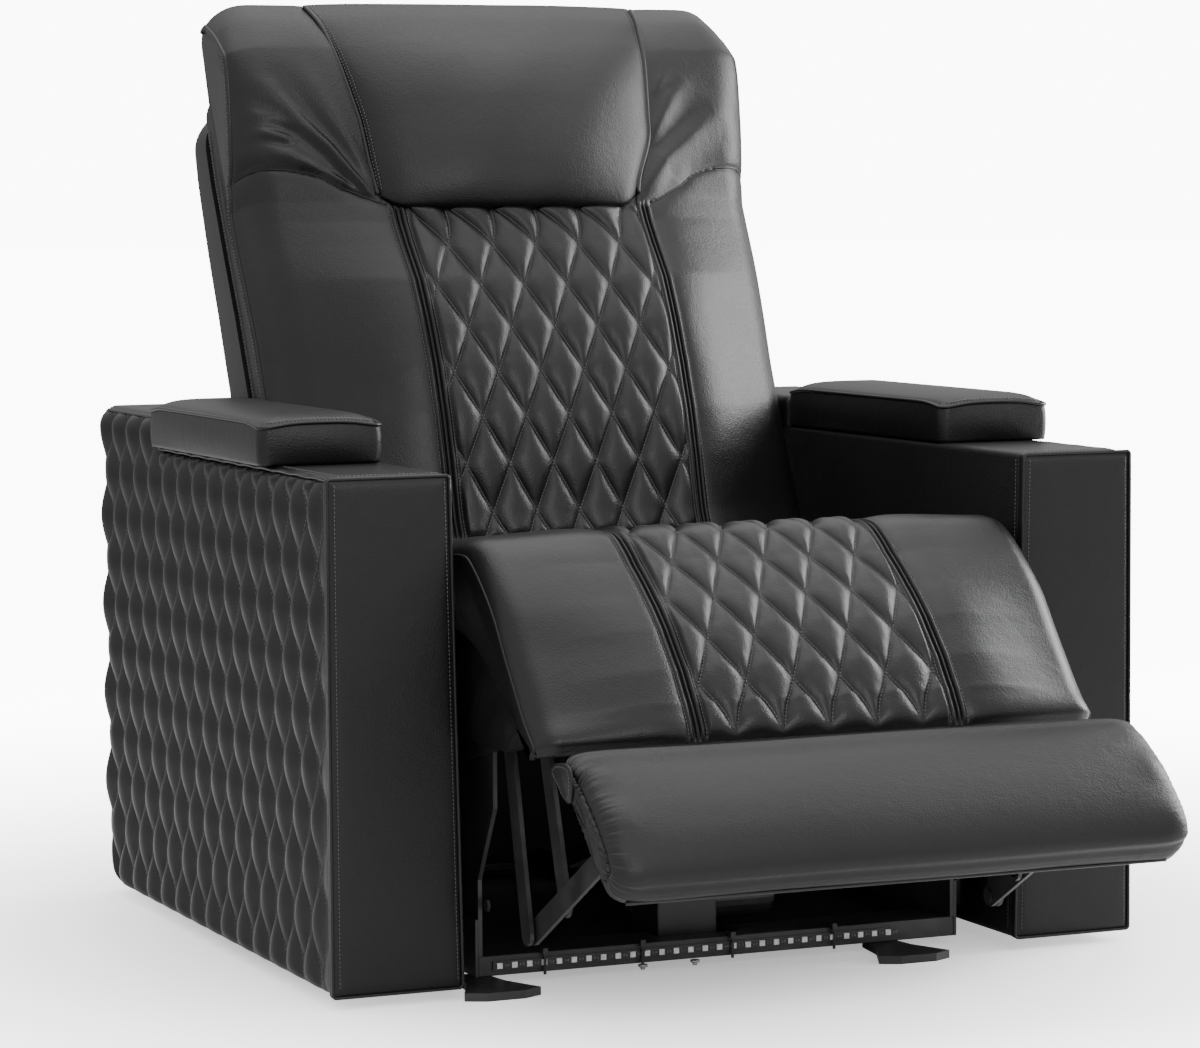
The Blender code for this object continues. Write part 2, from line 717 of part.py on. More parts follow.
def make_hinge_leaf(side, sign):
    """The leaf on the arm: a strip, its knuckles and the pin they hold."""
    x, z = sign * hinge_x(), hinge_z()
    spans = knuckle_spans()
    pin = rod_mesh("pin", (x, spans[0][0], z), (x, spans[-1][1], z), HINGE_PIN_RADIUS)
    leaf = add_piece(f"{side}_hinge_leaf", pin, "steel", "chair")
    for index, (start, end) in enumerate(spans):
        if index % 2 == 0:
            knuckle = rod_mesh("knuckle", (x, start, z), (x, end, z), HINGE_RADIUS)
            shape(leaf, add_cutter(f"{side}_arm_knuckle_{index}", knuckle, "chair"), "UNION")
            web = side_box("web", sign, (hinge_x() - HINGE_RADIUS / 2, start, ARM_HEIGHT + GAP),
                           (hinge_x() + HINGE_RADIUS / 2, end, z))
            shape(leaf, add_cutter(f"{side}_arm_web_{index}", web, "chair"), "UNION")


def cut_control_pocket(arm):
    """The pocket in the right arm that the buttons work in."""
    half = CONTROL_LENGTH / 2 - CONTROL_PLATE * 2
    rise = CONTROL_HEIGHT / 2 - CONTROL_PLATE * 2
    low = (-OPENING_HALF - POCKET_DEPTH, CONTROL_FROM_FRONT - half, control_z() - rise)
    high = (-OPENING_HALF + CUT_OVERRUN, CONTROL_FROM_FRONT + half, control_z() + rise)
    shape(arm, add_cutter("control_pocket", box_mesh("pocket", low, high), "chair"), "DIFFERENCE")


def make_controls():
    """The control plate on the right arm's inner side, and its two buttons."""
    inner = GAP - arm_inner(control_z() - CONTROL_HEIGHT / 2)
    corner = CONTROL_PLATE * 2
    half, rise = CONTROL_LENGTH / 2, CONTROL_HEIGHT / 2
    middle = (CONTROL_FROM_FRONT, control_z())
    outline = rounded_rectangle(middle, half, rise, corner)
    holes = [rounded_rectangle((place, control_z()), BUTTON_LENGTH / 2 + RUNNING_GAP,
                               BUTTON_HEIGHT / 2 + RUNNING_GAP, BUTTON_HEIGHT / 3)
             for place in button_places().values()]
    plate = outline_mesh("control_plate", "YZ", outline, inner, inner + CONTROL_PLATE, holes)
    add_piece("control_plate", plate, "plastic", "chair")
    for name, place in button_places().items():
        face = rounded_rectangle((place, control_z()), BUTTON_LENGTH / 2, BUTTON_HEIGHT / 2,
                                 BUTTON_HEIGHT / 3)
        high = inner + CONTROL_PLATE + BUTTON_PROUD
        button = outline_mesh(name, "YZ", face, inner - BUTTON_BODY, high)
        add_piece(name, button, "button", f"{name}_press")


def rounded_rectangle(middle, half_length, half_height, corner):
    """A rectangle with round corners."""
    across, up = half_length - corner, half_height - corner
    points = []
    for index, (a, b) in enumerate(((1, 1), (-1, 1), (-1, -1), (1, -1))):
        points += arc((middle[0] + a * across, middle[1] + b * up), corner,
                      90 * index, 90 * index + 90, CORNER_STEPS)
    return points


def make_base():
    """The steel base: cross rails, side rails with arm lugs, roller plates and glides."""
    half = SIDE_RAIL_INNER - GAP
    for name, face, heading in (("front_rail", RAIL_FRONT, 1.0), ("rear_rail", RAIL_REAR, -1.0)):
        outline = channel_outline(face, heading)
        rail = outline_mesh(name, "YZ", outline, -half, half)
        rail = add_piece(name, rail, "steel", "chair")
        if name == "front_rail":
            shape(rail, add_cutter("rail_notch", notch_box(), "chair"), "DIFFERENCE")
        bevel(rail, STEEL_BEVEL)
    for side, sign in SIDES:
        make_side_rail(side, sign)
        make_base_plate(side, sign)
    make_glides()
    strip_z = RAIL_BOTTOM + RAIL_HEIGHT / 2
    low = (STRIP_LEFT_END, RAIL_FRONT - GAP - STRIP_THICKNESS, strip_z - STRIP_HEIGHT / 2)
    high = (STRIP_RIGHT_END, RAIL_FRONT - GAP, strip_z + STRIP_HEIGHT / 2)
    add_piece("light_strip", box_mesh("light_strip", low, high), "strip", "chair")
    inset = RAIL_FLANGE / 3 + GAP
    low = (-half, RAIL_FRONT + inset, RAIL_BOTTOM + GAP)
    high = (half, RAIL_REAR - inset, RAIL_BOTTOM + GAP + DUST_COVER_THICKNESS)
    add_piece("dust_cover", box_mesh("dust_cover", low, high), "lining", "chair")
    make_inlet()


def notch_box():
    """The cutout in the front rail's top flange that the gearbox slides into."""
    low = (GEARBOX_RIGHT - RAIL_NOTCH_MARGIN, RAIL_FRONT + RAIL_FLANGE - RAIL_NOTCH_DEPTH,
           RAIL_BOTTOM + RAIL_HEIGHT / 2)
    high = (GEARBOX_RIGHT + GEARBOX_WIDTH + RAIL_NOTCH_MARGIN,
            RAIL_FRONT + RAIL_FLANGE + RAIL_NOTCH_MARGIN, RAIL_TOP + CUT_OVERRUN)
    return box_mesh("rail_notch", low, high)


def make_inlet():
    """The socket behind the rear rail that the power supply plugs into."""
    middle = RAIL_BOTTOM + RAIL_HEIGHT / 2
    low = (-INLET_WIDTH / 2, RAIL_REAR + GAP, middle - INLET_HEIGHT / 2)
    high = (INLET_WIDTH / 2, RAIL_REAR + INLET_DEPTH, middle + INLET_HEIGHT / 2)
    inlet = add_piece("power_inlet", box_mesh("power_inlet", low, high), "plastic", "chair")
    bore = rod_mesh("bore", (0.0, low[1] + RAIL_WALL, middle), (0.0, high[1] + CUT_OVERRUN, middle),
                    INLET_BORE)
    shape(inlet, add_cutter("inlet_bore", bore, "chair"), "DIFFERENCE")


def channel_outline(face, heading):
    """A cross rail's section: a web with a wide top flange and a narrow bottom one."""
    wide, narrow = face + heading * RAIL_FLANGE, face + heading * RAIL_FLANGE / 3
    inner = face + heading * RAIL_WALL
    low, high = RAIL_BOTTOM, RAIL_TOP
    return [(face, low), (narrow, low), (narrow, low + RAIL_WALL), (inner, low + RAIL_WALL),
            (inner, high - RAIL_WALL), (wide, high - RAIL_WALL), (wide, high), (face, high)]


def make_side_rail(side, sign):
    """A side rail with the two lugs that the arm is bolted to."""
    low = (SIDE_RAIL_INNER, RAIL_FRONT, RAIL_BOTTOM)
    high = (SIDE_RAIL_OUTER, RAIL_REAR, RAIL_BOTTOM + SIDE_RAIL_HEIGHT)
    rail = add_piece(f"{side}_side_rail", side_box("rail", sign, low, high), "steel", "chair")
    reach = arm_inner(RAIL_TOP) - RAIL_WALL
    for index, start in enumerate((RAIL_FRONT + ARM_LUG_LENGTH, RAIL_REAR - 2 * ARM_LUG_LENGTH)):
        end = start + ARM_LUG_LENGTH
        shelf = side_box("shelf", sign, (SIDE_RAIL_OUTER - GAP, start, RAIL_TOP),
                         (reach, end, RAIL_TOP + RAIL_WALL))
        lug = side_box("lug", sign, (reach - RAIL_WALL, start, RAIL_TOP),
                       (reach + RAIL_WALL - GAP, end, RAIL_TOP + ARM_LUG_HEIGHT))
        shape(rail, add_cutter(f"{side}_shelf_{index}", shelf, "chair"), "UNION")
        shape(rail, add_cutter(f"{side}_lug_{index}", lug, "chair"), "UNION")


def slot_outline(centre_y, centre_z):
    """The slot that a seat roller runs in."""
    radius = ROLLER_RADIUS + RUNNING_GAP
    return bar_outline((centre_y - GLIDE_FORWARD - RUNNING_GAP, centre_z),
                       (centre_y + GLIDE_BACKWARD + RUNNING_GAP, centre_z), radius)


def roller_z():
    """Height of the seat's rollers."""
    return DRIVE_PIVOT[1] - ROLLER_DROP


def make_base_plate(side, sign):
    """The upright plate whose slots guide the seat."""
    low = RAIL_TOP + GAP
    slope = (BASE_PLATE_TOP - low) / 3
    outline = [(RAIL_FRONT, low), (BASE_PLATE_REAR, low), (BASE_PLATE_REAR, BASE_PLATE_TOP),
               (BASE_PLATE_FRONT, BASE_PLATE_TOP), (BASE_PLATE_FRONT, BASE_PLATE_TOP - slope),
               (RAIL_FRONT, low + slope)]
    holes = [slot_outline(ROLLER_FRONT, roller_z()), slot_outline(ROLLER_REAR, roller_z())]
    half = PLATE_THICKNESS / 2
    plate = outline_mesh(f"{side}_base_plate", "YZ", outline, BASE_PLATE_X - half,
                         BASE_PLATE_X + half, holes)
    if sign < 0:
        flip_side(plate)
    add_piece(f"{side}_base_plate", plate, "steel", "chair")


def make_glides():
    """The four plastic glides that the chair stands on."""
    places = {
        "right_front_glide": (GLIDE_FRONT_RIGHT_X, RAIL_FRONT, -1.0),
        "left_front_glide": (GLIDE_FRONT_LEFT_X, RAIL_FRONT, -1.0),
        "right_rear_glide": (-GLIDE_REAR_X, RAIL_REAR, 1.0),
        "left_rear_glide": (GLIDE_REAR_X, RAIL_REAR, 1.0),
    }
    for name, (x, y, heading) in places.items():
        half = GLIDE_WIDTH / 2
        tip = y + heading * GLIDE_LENGTH * 0.75
        back = y - heading * GLIDE_LENGTH / 4
        waist = y + heading * GLIDE_LENGTH / 4
        outline = [(x - half, tip), (x - half / 2, tip + heading * half / 4),
                   (x + half / 2, tip + heading * half / 4), (x + half, tip),
                   (x + half / 2, waist), (x + half / 3, back), (x - half / 3, back),
                   (x - half / 2, waist)]
        top = RAIL_BOTTOM - GAP
        add_piece(name, outline_mesh(name, "XY", outline, 0.0, top), "plastic", "chair")


def link(name, side, sign, outline, layer, pivot, holes=(), pins=()):
    """A flat steel link in its layer, with its holes and the pins that it carries."""
    half = PLATE_THICKNESS / 2
    mesh = outline_mesh(name, "YZ", outline, layer - half, layer + half, holes)
    if sign < 0:
        flip_side(mesh)
    plate = add_piece(f"{side}_{name}", mesh, "steel", pivot)
    for index, (centre, reach, radius, headed) in enumerate(pins):
        inward = -1.0 if reach < layer else 1.0
        end = reach + inward * (half + (RUNNING_GAP if headed else -2 * RUNNING_GAP))
        shaft = rod_mesh("pin", (sign * (layer + inward * half / 2), *centre),
                         (sign * (end + inward * RUNNING_GAP), *centre), radius, PIN_SIDES)
        shape(plate, add_cutter(f"{side}_{name}_pin_{index}", shaft, pivot), "UNION")
        if headed:
            head = rod_mesh("head", (sign * end, *centre),
                            (sign * (end + inward * PIN_HEAD), *centre), radius * 1.6, PIN_SIDES)
            shape(plate, add_cutter(f"{side}_{name}_head_{index}", head, pivot), "UNION")
    return plate


def stay_joint():
    """Where the stay meets the lift link."""
    return between(KNEE_PIVOT, PAD_PIVOT, STAY_SHARE)


def make_linkage():
    """The footrest linkage on each side: drive, lift and stay links, and the torque tube."""
    for side, sign in SIDES:
        hole = [circle(DRIVE_PIVOT, LINK_HOLE, 12)]
        link("drive_link", side, sign, bar_outline(DRIVE_PIVOT, KNEE_PIVOT, LINK_HALF_WIDTH),
             DRIVE_X, "footrest_drive", hole, [(KNEE_PIVOT, LIFT_X, PIN_RADIUS, True)])
        hole = [circle(KNEE_PIVOT, LINK_HOLE, 12)]
        link("lift_link", side, sign, bar_outline(KNEE_PIVOT, PAD_PIVOT, LINK_HALF_WIDTH),
             LIFT_X, "footrest_lift", hole,
             [(PAD_PIVOT, DRIVE_X, PIN_RADIUS, True), (stay_joint(), STAY_X, STAY_PIN_RADIUS, True)])
        holes = [circle(STAY_PIVOT, LINK_HOLE, 12), circle(stay_joint(), STAY_PIN_RADIUS + STAY_PIN_PLAY, 12)]
        link("stay_link", side, sign, bar_outline(STAY_PIVOT, stay_joint(), LINK_HALF_WIDTH),
             STAY_X, "footrest_stay", holes)
    make_torque_tube()


def make_torque_tube():
    """The tube that turns both drive links together, with its crank."""
    end = DRIVE_X - PLATE_THICKNESS / 2 - GAP
    mesh = rod_mesh("torque_tube", (-end, *DRIVE_PIVOT), (end, *DRIVE_PIVOT), TORQUE_TUBE_RADIUS)
    tube = add_piece("torque_tube", mesh, "steel", "footrest_drive")
    foot = (DRIVE_PIVOT[0], DRIVE_PIVOT[1] - CRANK_LENGTH)
    crank_x = push_link_x() - LAYER_PITCH
    crank = outline_mesh("crank", "YZ", bar_outline(DRIVE_PIVOT, foot, LINK_HALF_WIDTH),
                         crank_x - PLATE_THICKNESS / 2, crank_x + PLATE_THICKNESS / 2)
    shape(tube, add_cutter("crank", crank, "footrest_drive"), "UNION")


def in_pad_plane(along, out):
    """A place on the footrest, given along it and out from its pivot."""
    tilt = math.radians(FOOTREST_TILT)
    y = PAD_PIVOT[0] - along * math.cos(tilt) - out * math.sin(tilt)
    z = PAD_PIVOT[1] - along * math.sin(tilt) + out * math.cos(tilt)
    return y, z


PAD_OUTLINE_SHARES = ((-1.0, 0.10), (-0.98, 0.50), (-0.80, 0.62), (-0.40, 0.84), (0.10, 0.98),
                      (0.45, 1.0), (0.72, 0.92), (0.92, 0.78), (1.0, 0.60), (0.97, 0.34),
                      (0.90, 0.10))
PAD_FLOOR_SHARES = ((0.80, 0.0), (0.30, 0.0), (-0.30, 0.0), (-0.88, 0.0))


def pad_place(along_share, out_share):
    """A place on the pad's outline from shares of its length and thickness."""
    length = PAD_FRONT if along_share > 0 else PAD_REAR
    return in_pad_plane(along_share * length,
                        PAD_UNDERSIDE + out_share * (PAD_CROWN - PAD_UNDERSIDE))


def make_footrest():
    """The footrest: a crowned pad on its board, carried by a bracket on each side."""
    loop = [pad_place(*place) for place in PAD_OUTLINE_SHARES + PAD_FLOOR_SHARES]
    normals = path_normals(loop)
    count = len(PAD_OUTLINE_SHARES)
    outer = edge_columns(PAD_HALF, PAD_EDGE_RADIUS)
    plain = [0.0, PAD_HALF / 3, PAD_HALF * 2 / 3]
    columns = [(-x, inset) for x, inset in reversed(outer)]
    columns += [(-x, 0.0) for x in reversed(plain[1:])] + [(x, 0.0) for x in plain] + outer
    rings = []
    for x, inset in columns:
        ring = []
        for index, (place, normal) in enumerate(zip(loop, normals)):
            draw = inset if index < count else 0.0
            ring.append((x, place[0] - normal.x * draw, place[1] - normal.y * draw))
        rings.append(ring)
    add_piece("footrest_pad", grid_solid("footrest_pad", rings), "leather", "footrest_tilt")
    top = PAD_UNDERSIDE - GAP
    low = top - PAD_BOARD_THICKNESS
    rear, front = -PAD_REAR + PAD_BOARD_INSET, PAD_FRONT - PAD_BOARD_INSET
    board = [in_pad_plane(*place) for place in ((rear, low), (front, low), (front, top), (rear, top))]
    half = STAY_X - LAYER_PITCH
    mesh = outline_mesh("footrest_board", "YZ", board, -half, half)
    bevel(add_piece("footrest_board", mesh, "wood", "footrest_tilt"), WOOD_BEVEL)
    for side, sign in SIDES:
        reach = LINK_HALF_WIDTH * 1.2
        bracket = [(rear, top), (rear, low), (-reach, -reach), (reach, -reach), (front, low),
                   (front, top)]
        outline = [in_pad_plane(*place) for place in bracket]
        plate = link("footrest_bracket", side, sign, outline, DRIVE_X, "footrest_tilt",
                     [circle(PAD_PIVOT, LINK_HOLE, 12)])
        strip = [(rear, top), (rear, top - RAIL_WALL), (front, top - RAIL_WALL), (front, top)]
        flange = outline_mesh("flange", "YZ", [in_pad_plane(*place) for place in strip],
                              half + GAP, DRIVE_X)
        if sign < 0:
            flip_side(flange)
        shape(plate, add_cutter(f"{side}_pad_flange", flange, "footrest_tilt"), "UNION")


def seat_point(reach_share, rise_share):
    """A place on the seat's upper outline from shares of its reach and rise."""
    y = -SEAT_REACH + reach_share * (SEAT_REAR + SEAT_REACH)
    z = SEAT_LIP_HEIGHT + rise_share * (SEAT_HEIGHT - SEAT_LIP_HEIGHT)
    return y, z


def seat_under_point(reach_share, rise_share):
    """A place on the arch under the seat, which spans the frame whatever the seat's height."""
    y = -SEAT_REACH + reach_share * (SEAT_REAR + SEAT_REACH)
    return y, SEAT_LIP_HEIGHT + rise_share * SEAT_UNDER_RISE


def make_seat_cushion():
    """The seat cushion: quilted middle, a ridged band each side, plain sides and a deep lip."""
    top = smooth_path([seat_point(*place) for place in SEAT_TOP_SHARES], DIAMOND_LENGTH / 4)
    under = [seat_under_point(*place) for place in SEAT_UNDER_SHARES]
    loop = top + under
    normals = path_normals(loop)
    steps = QUILT_COLUMNS * 4
    width = 2 * BAND_HALF_WIDTH / QUILT_COLUMNS
    columns = cushion_columns(SEAT_HALF, SEAT_EDGE_RADIUS, BAND_HALF_WIDTH, steps, 3)
    rings = []
    for x, inset in columns:
        ring = []
        for row, (place, normal) in enumerate(zip(loop, normals)):
            lift = -inset if row < len(top) else 0.0
            if 0 < row < len(top) - 1:
                lift += surface_relief(x, row, width)
            if row < len(top):
                share = (place[0] + SEAT_REACH) / (SEAT_REAR + SEAT_REACH)
                lift += SEAT_CROWN * table_value(SEAT_CROWN_SHARES, share) * middle_share(x)
            ring.append((x, place[0] + normal.x * lift, place[1] + normal.y * lift))
        rings.append(ring)
    mesh = grid_solid("seat_cushion", rings, lambda column, row: (row + column) % 2 == 0)
    add_piece("seat_cushion", mesh, "leather", "seat_glide")


def table_value(table, place):
    """A table's value at a place, on straight lines between its entries."""
    place = min(max(place, table[0][0]), table[-1][0])
    for (low, first), (high, last) in zip(table, table[1:]):
        if place <= high:
            return first + (last - first) * (place - low) / (high - low)


def middle_share(x):
    """1 between a cushion's bands, falling smoothly to 0 at its side."""
    inner = BAND_HALF_WIDTH + BAND_WIDTH
    share = min(1.0, max(0.0, (abs(x) - inner) / (SEAT_HALF - inner)))
    return 1.0 - share * share * (3.0 - 2.0 * share)


def surface_relief(x, row, width):
    """Relief of a cushion's upper side: diamonds in the middle and a ridge on each band."""
    if abs(x) < BAND_HALF_WIDTH - GAP:
        return CUSHION_PUFF * diamond_relief(x + BAND_HALF_WIDTH, row, width, 4)
    if BAND_HALF_WIDTH + GAP < abs(x) < BAND_HALF_WIDTH + BAND_WIDTH - GAP:
        return BAND_HEIGHT
    return 0.0


def under_line(y):
    """Height of the seat cushion's underside at a place along the seat."""
    points = sorted(seat_under_point(*place) for place in SEAT_UNDER_SHARES[:-1])
    for (y0, z0), (y1, z1) in zip(points, points[1:]):
        if y0 <= y <= y1:
            return z0 + (z1 - z0) * (y - y0) / (y1 - y0)
    return points[-1][1]


def make_seat_frame():
    """The seat's wooden frame, its lining deck and the steel plates it is bolted to."""
    knots = [seat_under_point(*place)[0] for place in SEAT_UNDER_SHARES[1:-1]]
    front = knots[0] + BOARD_THICKNESS
    rear = SEAT_REAR - BOARD_THICKNESS
    line = [front] + [y for y in knots[1:-1] if y < rear] + [rear]
    top = [(y, under_line(y) - SOFT_GAP) for y in line]
    low = SEAT_FRAME_BOTTOM
    for side, sign in SIDES:
        outline = [(rear, low), *reversed(top), (front, top[0][1] - BOARD_THICKNESS),
                   (front + BOARD_THICKNESS * 2, low)]
        board = outline_mesh(f"{side}_seat_board", "YZ", outline, BOARD_INNER, BOARD_OUTER)
        if sign < 0:
            flip_side(board)
        add_piece(f"{side}_seat_board", board, "leather", "seat_glide")
    half = STAY_X - LAYER_PITCH
    front_line = [y for y in line if y <= DRIVE_PIVOT[0] + BOARD_THICKNESS * 3]
    upper = [(y, under_line(y) - SOFT_GAP) for y in front_line]
    lower = [(y, z - FRONT_BOARD_THICKNESS) for y, z in reversed(upper)]
    mesh = outline_mesh("seat_front_board", "YZ", upper + lower, -half, half)
    add_piece("seat_front_board", mesh, "wood", "seat_glide")
    deck_front = front_line[-1] + BOARD_THICKNESS
    deck_rear = rear - BOARD_THICKNESS
    deck_line = [deck_front] + [y for y in knots if deck_front < y < deck_rear] + [deck_rear]
    upper = [(y, under_line(y) - SOFT_GAP) for y in deck_line]
    lower = [(y, z - DECK_THICKNESS) for y, z in reversed(upper)]
    mesh = outline_mesh("seat_deck", "YZ", upper + lower, -BOARD_INNER + GAP, BOARD_INNER - GAP)
    add_piece("seat_deck", mesh, "lining", "seat_glide")
    reach = SEAT_PLATE_X - PLATE_THICKNESS / 2 - GAP
    rail_low = (-reach, deck_rear + GAP, BASE_PLATE_TOP + ROLLER_RADIUS)
    rail_high = (reach, rear, under_line(rear) - SOFT_GAP)
    rail = box_mesh("seat_rear_board", rail_low, rail_high)
    add_piece("seat_rear_board", rail, "wood", "seat_glide")
    make_seat_plates()


def make_seat_plates():
    """The steel side plates that carry the seat, with their rollers and pivot pins."""
    reach = LINK_HALF_WIDTH * 1.5
    low = roller_z() - ROLLER_RADIUS * 2
    top = STAY_PIVOT[1] + reach
    rear = BACK_PIVOT[0]
    outline = ([(STAY_PIVOT[0] - reach, STAY_PIVOT[1] - reach),
                (DRIVE_PIVOT[0] - reach, DRIVE_PIVOT[1] - reach),
                (ROLLER_FRONT - ROLLER_RADIUS * 2, low), (ROLLER_REAR + ROLLER_RADIUS * 2, low)]
               + arc(BACK_PIVOT, reach, -60, 90, 6)
               + [(rear, top), (STAY_PIVOT[0] - reach, top)])
    outline = [point for index, point in enumerate(outline)
               if index == 0 or (Vector(point) - Vector(outline[index - 1])).length > GAP]
    pins = [
        (DRIVE_PIVOT, DRIVE_X, PIN_RADIUS, False),
        (STAY_PIVOT, STAY_X, PIN_RADIUS, True),
        (BACK_PIVOT, BASE_PLATE_X, PIN_RADIUS, True),
        ((ROLLER_FRONT, roller_z()), BASE_PLATE_X, ROLLER_RADIUS, False),
        ((ROLLER_REAR, roller_z()), BASE_PLATE_X, ROLLER_RADIUS, False),
    ]
    for side, sign in SIDES:
        link("seat_plate", side, sign, outline, SEAT_PLATE_X, "seat_glide", (), pins)
    end = SEAT_PLATE_X - PLATE_THICKNESS / 2 - GAP
    place = (MOTOR_FRONT + GEARBOX_DEPTH / 2, MOTOR_TUBE_HEIGHT)
    tube = add_piece("motor_tube", rod_mesh("tube", (-end, *place), (end, *place),
                                            MOTOR_TUBE_RADIUS), "steel", "seat_glide")
    hanger_x = GEARBOX_RIGHT + GEARBOX_WIDTH / 2
    half = PLATE_THICKNESS / 2
    hanger = box_mesh("hanger", (hanger_x - half, place[0] - GEARBOX_DEPTH / 4,
                                 GEARBOX_BOTTOM + GEARBOX_HEIGHT + GAP),
                      (hanger_x + half, place[0] + GEARBOX_DEPTH / 4, place[1]))
    shape(tube, add_cutter("motor_hanger", hanger, "seat_glide"), "UNION")


def back_point(lean_share, height_share):
    """A place on the back's outline from shares of its lean and height."""
    return (BACK_FRONT_FOOT + lean_share * BACK_LEAN,
            BACK_BOTTOM + height_share * (BACK_TOP - BACK_BOTTOM))


def back_fade(height_share):
    """How much flatter the back's front is towards its head."""
    return 1.0 if height_share < 0.62 else max(0.25, 1.0 - (height_share - 0.62) * 2.6)


def side_share(x, height_share):
    """How far the back is drawn in at its sides: flat-fronted low down and rounder at the head."""
    rounded = (abs(x) / BACK_HALF) ** 2
    flat = (max(0.0, abs(x) / BACK_HALF - BACK_FLAT_SHARE) / (1.0 - BACK_FLAT_SHARE)) ** 1.5
    head = min(1.0, max(0.0, (height_share - HEAD_START) / (HEAD_FULL - HEAD_START)))
    return flat + (rounded - flat) * head


def back_surface(x, inset, relief, place, normal, front):
    """A place on the back cushion: crowned across its front and rounded at its corners."""
    share = (place[1] - BACK_BOTTOM) / (BACK_TOP - BACK_BOTTOM)
    fade = back_fade(share)
    recess = BACK_SIDE_RECESS * fade * side_share(x, share)
    if not front:
        recess *= max(0.0, min(1.0, (share - 0.9) / 0.05))
    lift = relief - (inset * fade if front else 0.0)
    if front:
        lift += BACK_BULGE * table_value(BACK_BULGE_SHARES, share) * middle_share(x)
    return (x, place[0] + normal.x * lift + recess,
            place[1] + normal.y * lift - corner_drop(x, share))


def back_front_path():
    """The back cushion's front, from its foot to its top, at even steps."""
    return smooth_path([back_point(*place) for place in BACK_FRONT_SHARES], DIAMOND_LENGTH / 4)


def back_rows():
    """The whole loop of the back cushion, with how many of its points are the front's."""
    front = back_front_path()
    rear = [back_point(*place) for place in BACK_REAR_SHARES]
    return front + rear, len(front)


def make_back_cushion():
    """The back cushion: quilted middle, bands, drawn-back sides and a full head."""
    loop, count = back_rows()
    normals = path_normals(loop)
    steps = QUILT_COLUMNS * 4
    width = 2 * BAND_HALF_WIDTH / QUILT_COLUMNS
    rings = []
    for x, inset in cushion_columns(BACK_HALF, BACK_EDGE_RADIUS, BAND_HALF_WIDTH, steps, 3):
        ring = []
        for row, (place, normal) in enumerate(zip(loop, normals)):
            quilted = 0 < row < count and place[1] < PILLOW_BOTTOM
            relief = surface_relief(x, row, width) if quilted else 0.0
            ring.append(back_surface(x, inset, relief, place, normal, row < count))
        rings.append(ring)
    mesh = grid_solid("back_cushion", rings, lambda column, row: (row + column) % 2 == 0)
    add_piece("back_cushion", mesh, "leather", "back_recline")


def corner_drop(x, height_share):
    """How far the head's top corners round down."""
    side = max(0.0, (abs(x) - BACK_HALF * 0.72) / (BACK_HALF * 0.28))
    return BACK_EDGE_RADIUS * side ** 2.4 * max(0.0, (height_share - 0.87) / 0.13)


def make_pillow():
    """The head pillow, on the back cushion's front between its two piped seams."""
    loop, count = back_rows()
    normals = path_normals(loop)
    head = [(place, normal) for row, (place, normal) in enumerate(zip(loop, normals))
            if row < count and place[1] > PILLOW_BOTTOM]
    columns = 10
    rings = []
    for column in range(columns + 1):
        share = 2 * column / columns - 1
        front, rear = [], []
        for row, (place, normal) in enumerate(head):
            rise = row / (len(head) - 1)
            half = PILLOW_HALF_BOTTOM + (PILLOW_HALF_TOP - PILLOW_HALF_BOTTOM) * rise ** 1.3
            x = share * half
            fullness = (1 - abs(share) ** 3.5) * (1 - abs(2 * rise ** 0.65 - 1) ** 5)
            swell = SOFT_GAP * 5 + PILLOW_DEPTH * fullness
            rear.append(back_surface(x, 0.0, SOFT_GAP, place, normal, True))
            front.append(back_surface(x, 0.0, swell, place, normal, True))
        rings.append(front + list(reversed(rear)))
    add_piece("head_pillow", grid_solid("head_pillow", rings), "leather", "back_recline")


def rear_line(depth, low, high):
    """The back's rear side, moved out by a depth, between two heights."""
    knots = sorted((back_point(*place) for place in BACK_REAR_SHARES[2:-1]),
                   key=lambda point: point[1])
    heights = [low] + [z for _, z in knots if low < z < high] + [high]
    return [(line_value(knots, z) + depth, z) for z in heights]


def line_value(knots, z):
    """Read a side-view line at a height, carrying its end slopes on."""
    pairs = list(zip(knots, knots[1:]))
    for (y0, z0), (y1, z1) in pairs:
        if z <= z1:
            break
    return y0 + (y1 - y0) * (z - z0) / (z1 - z0)


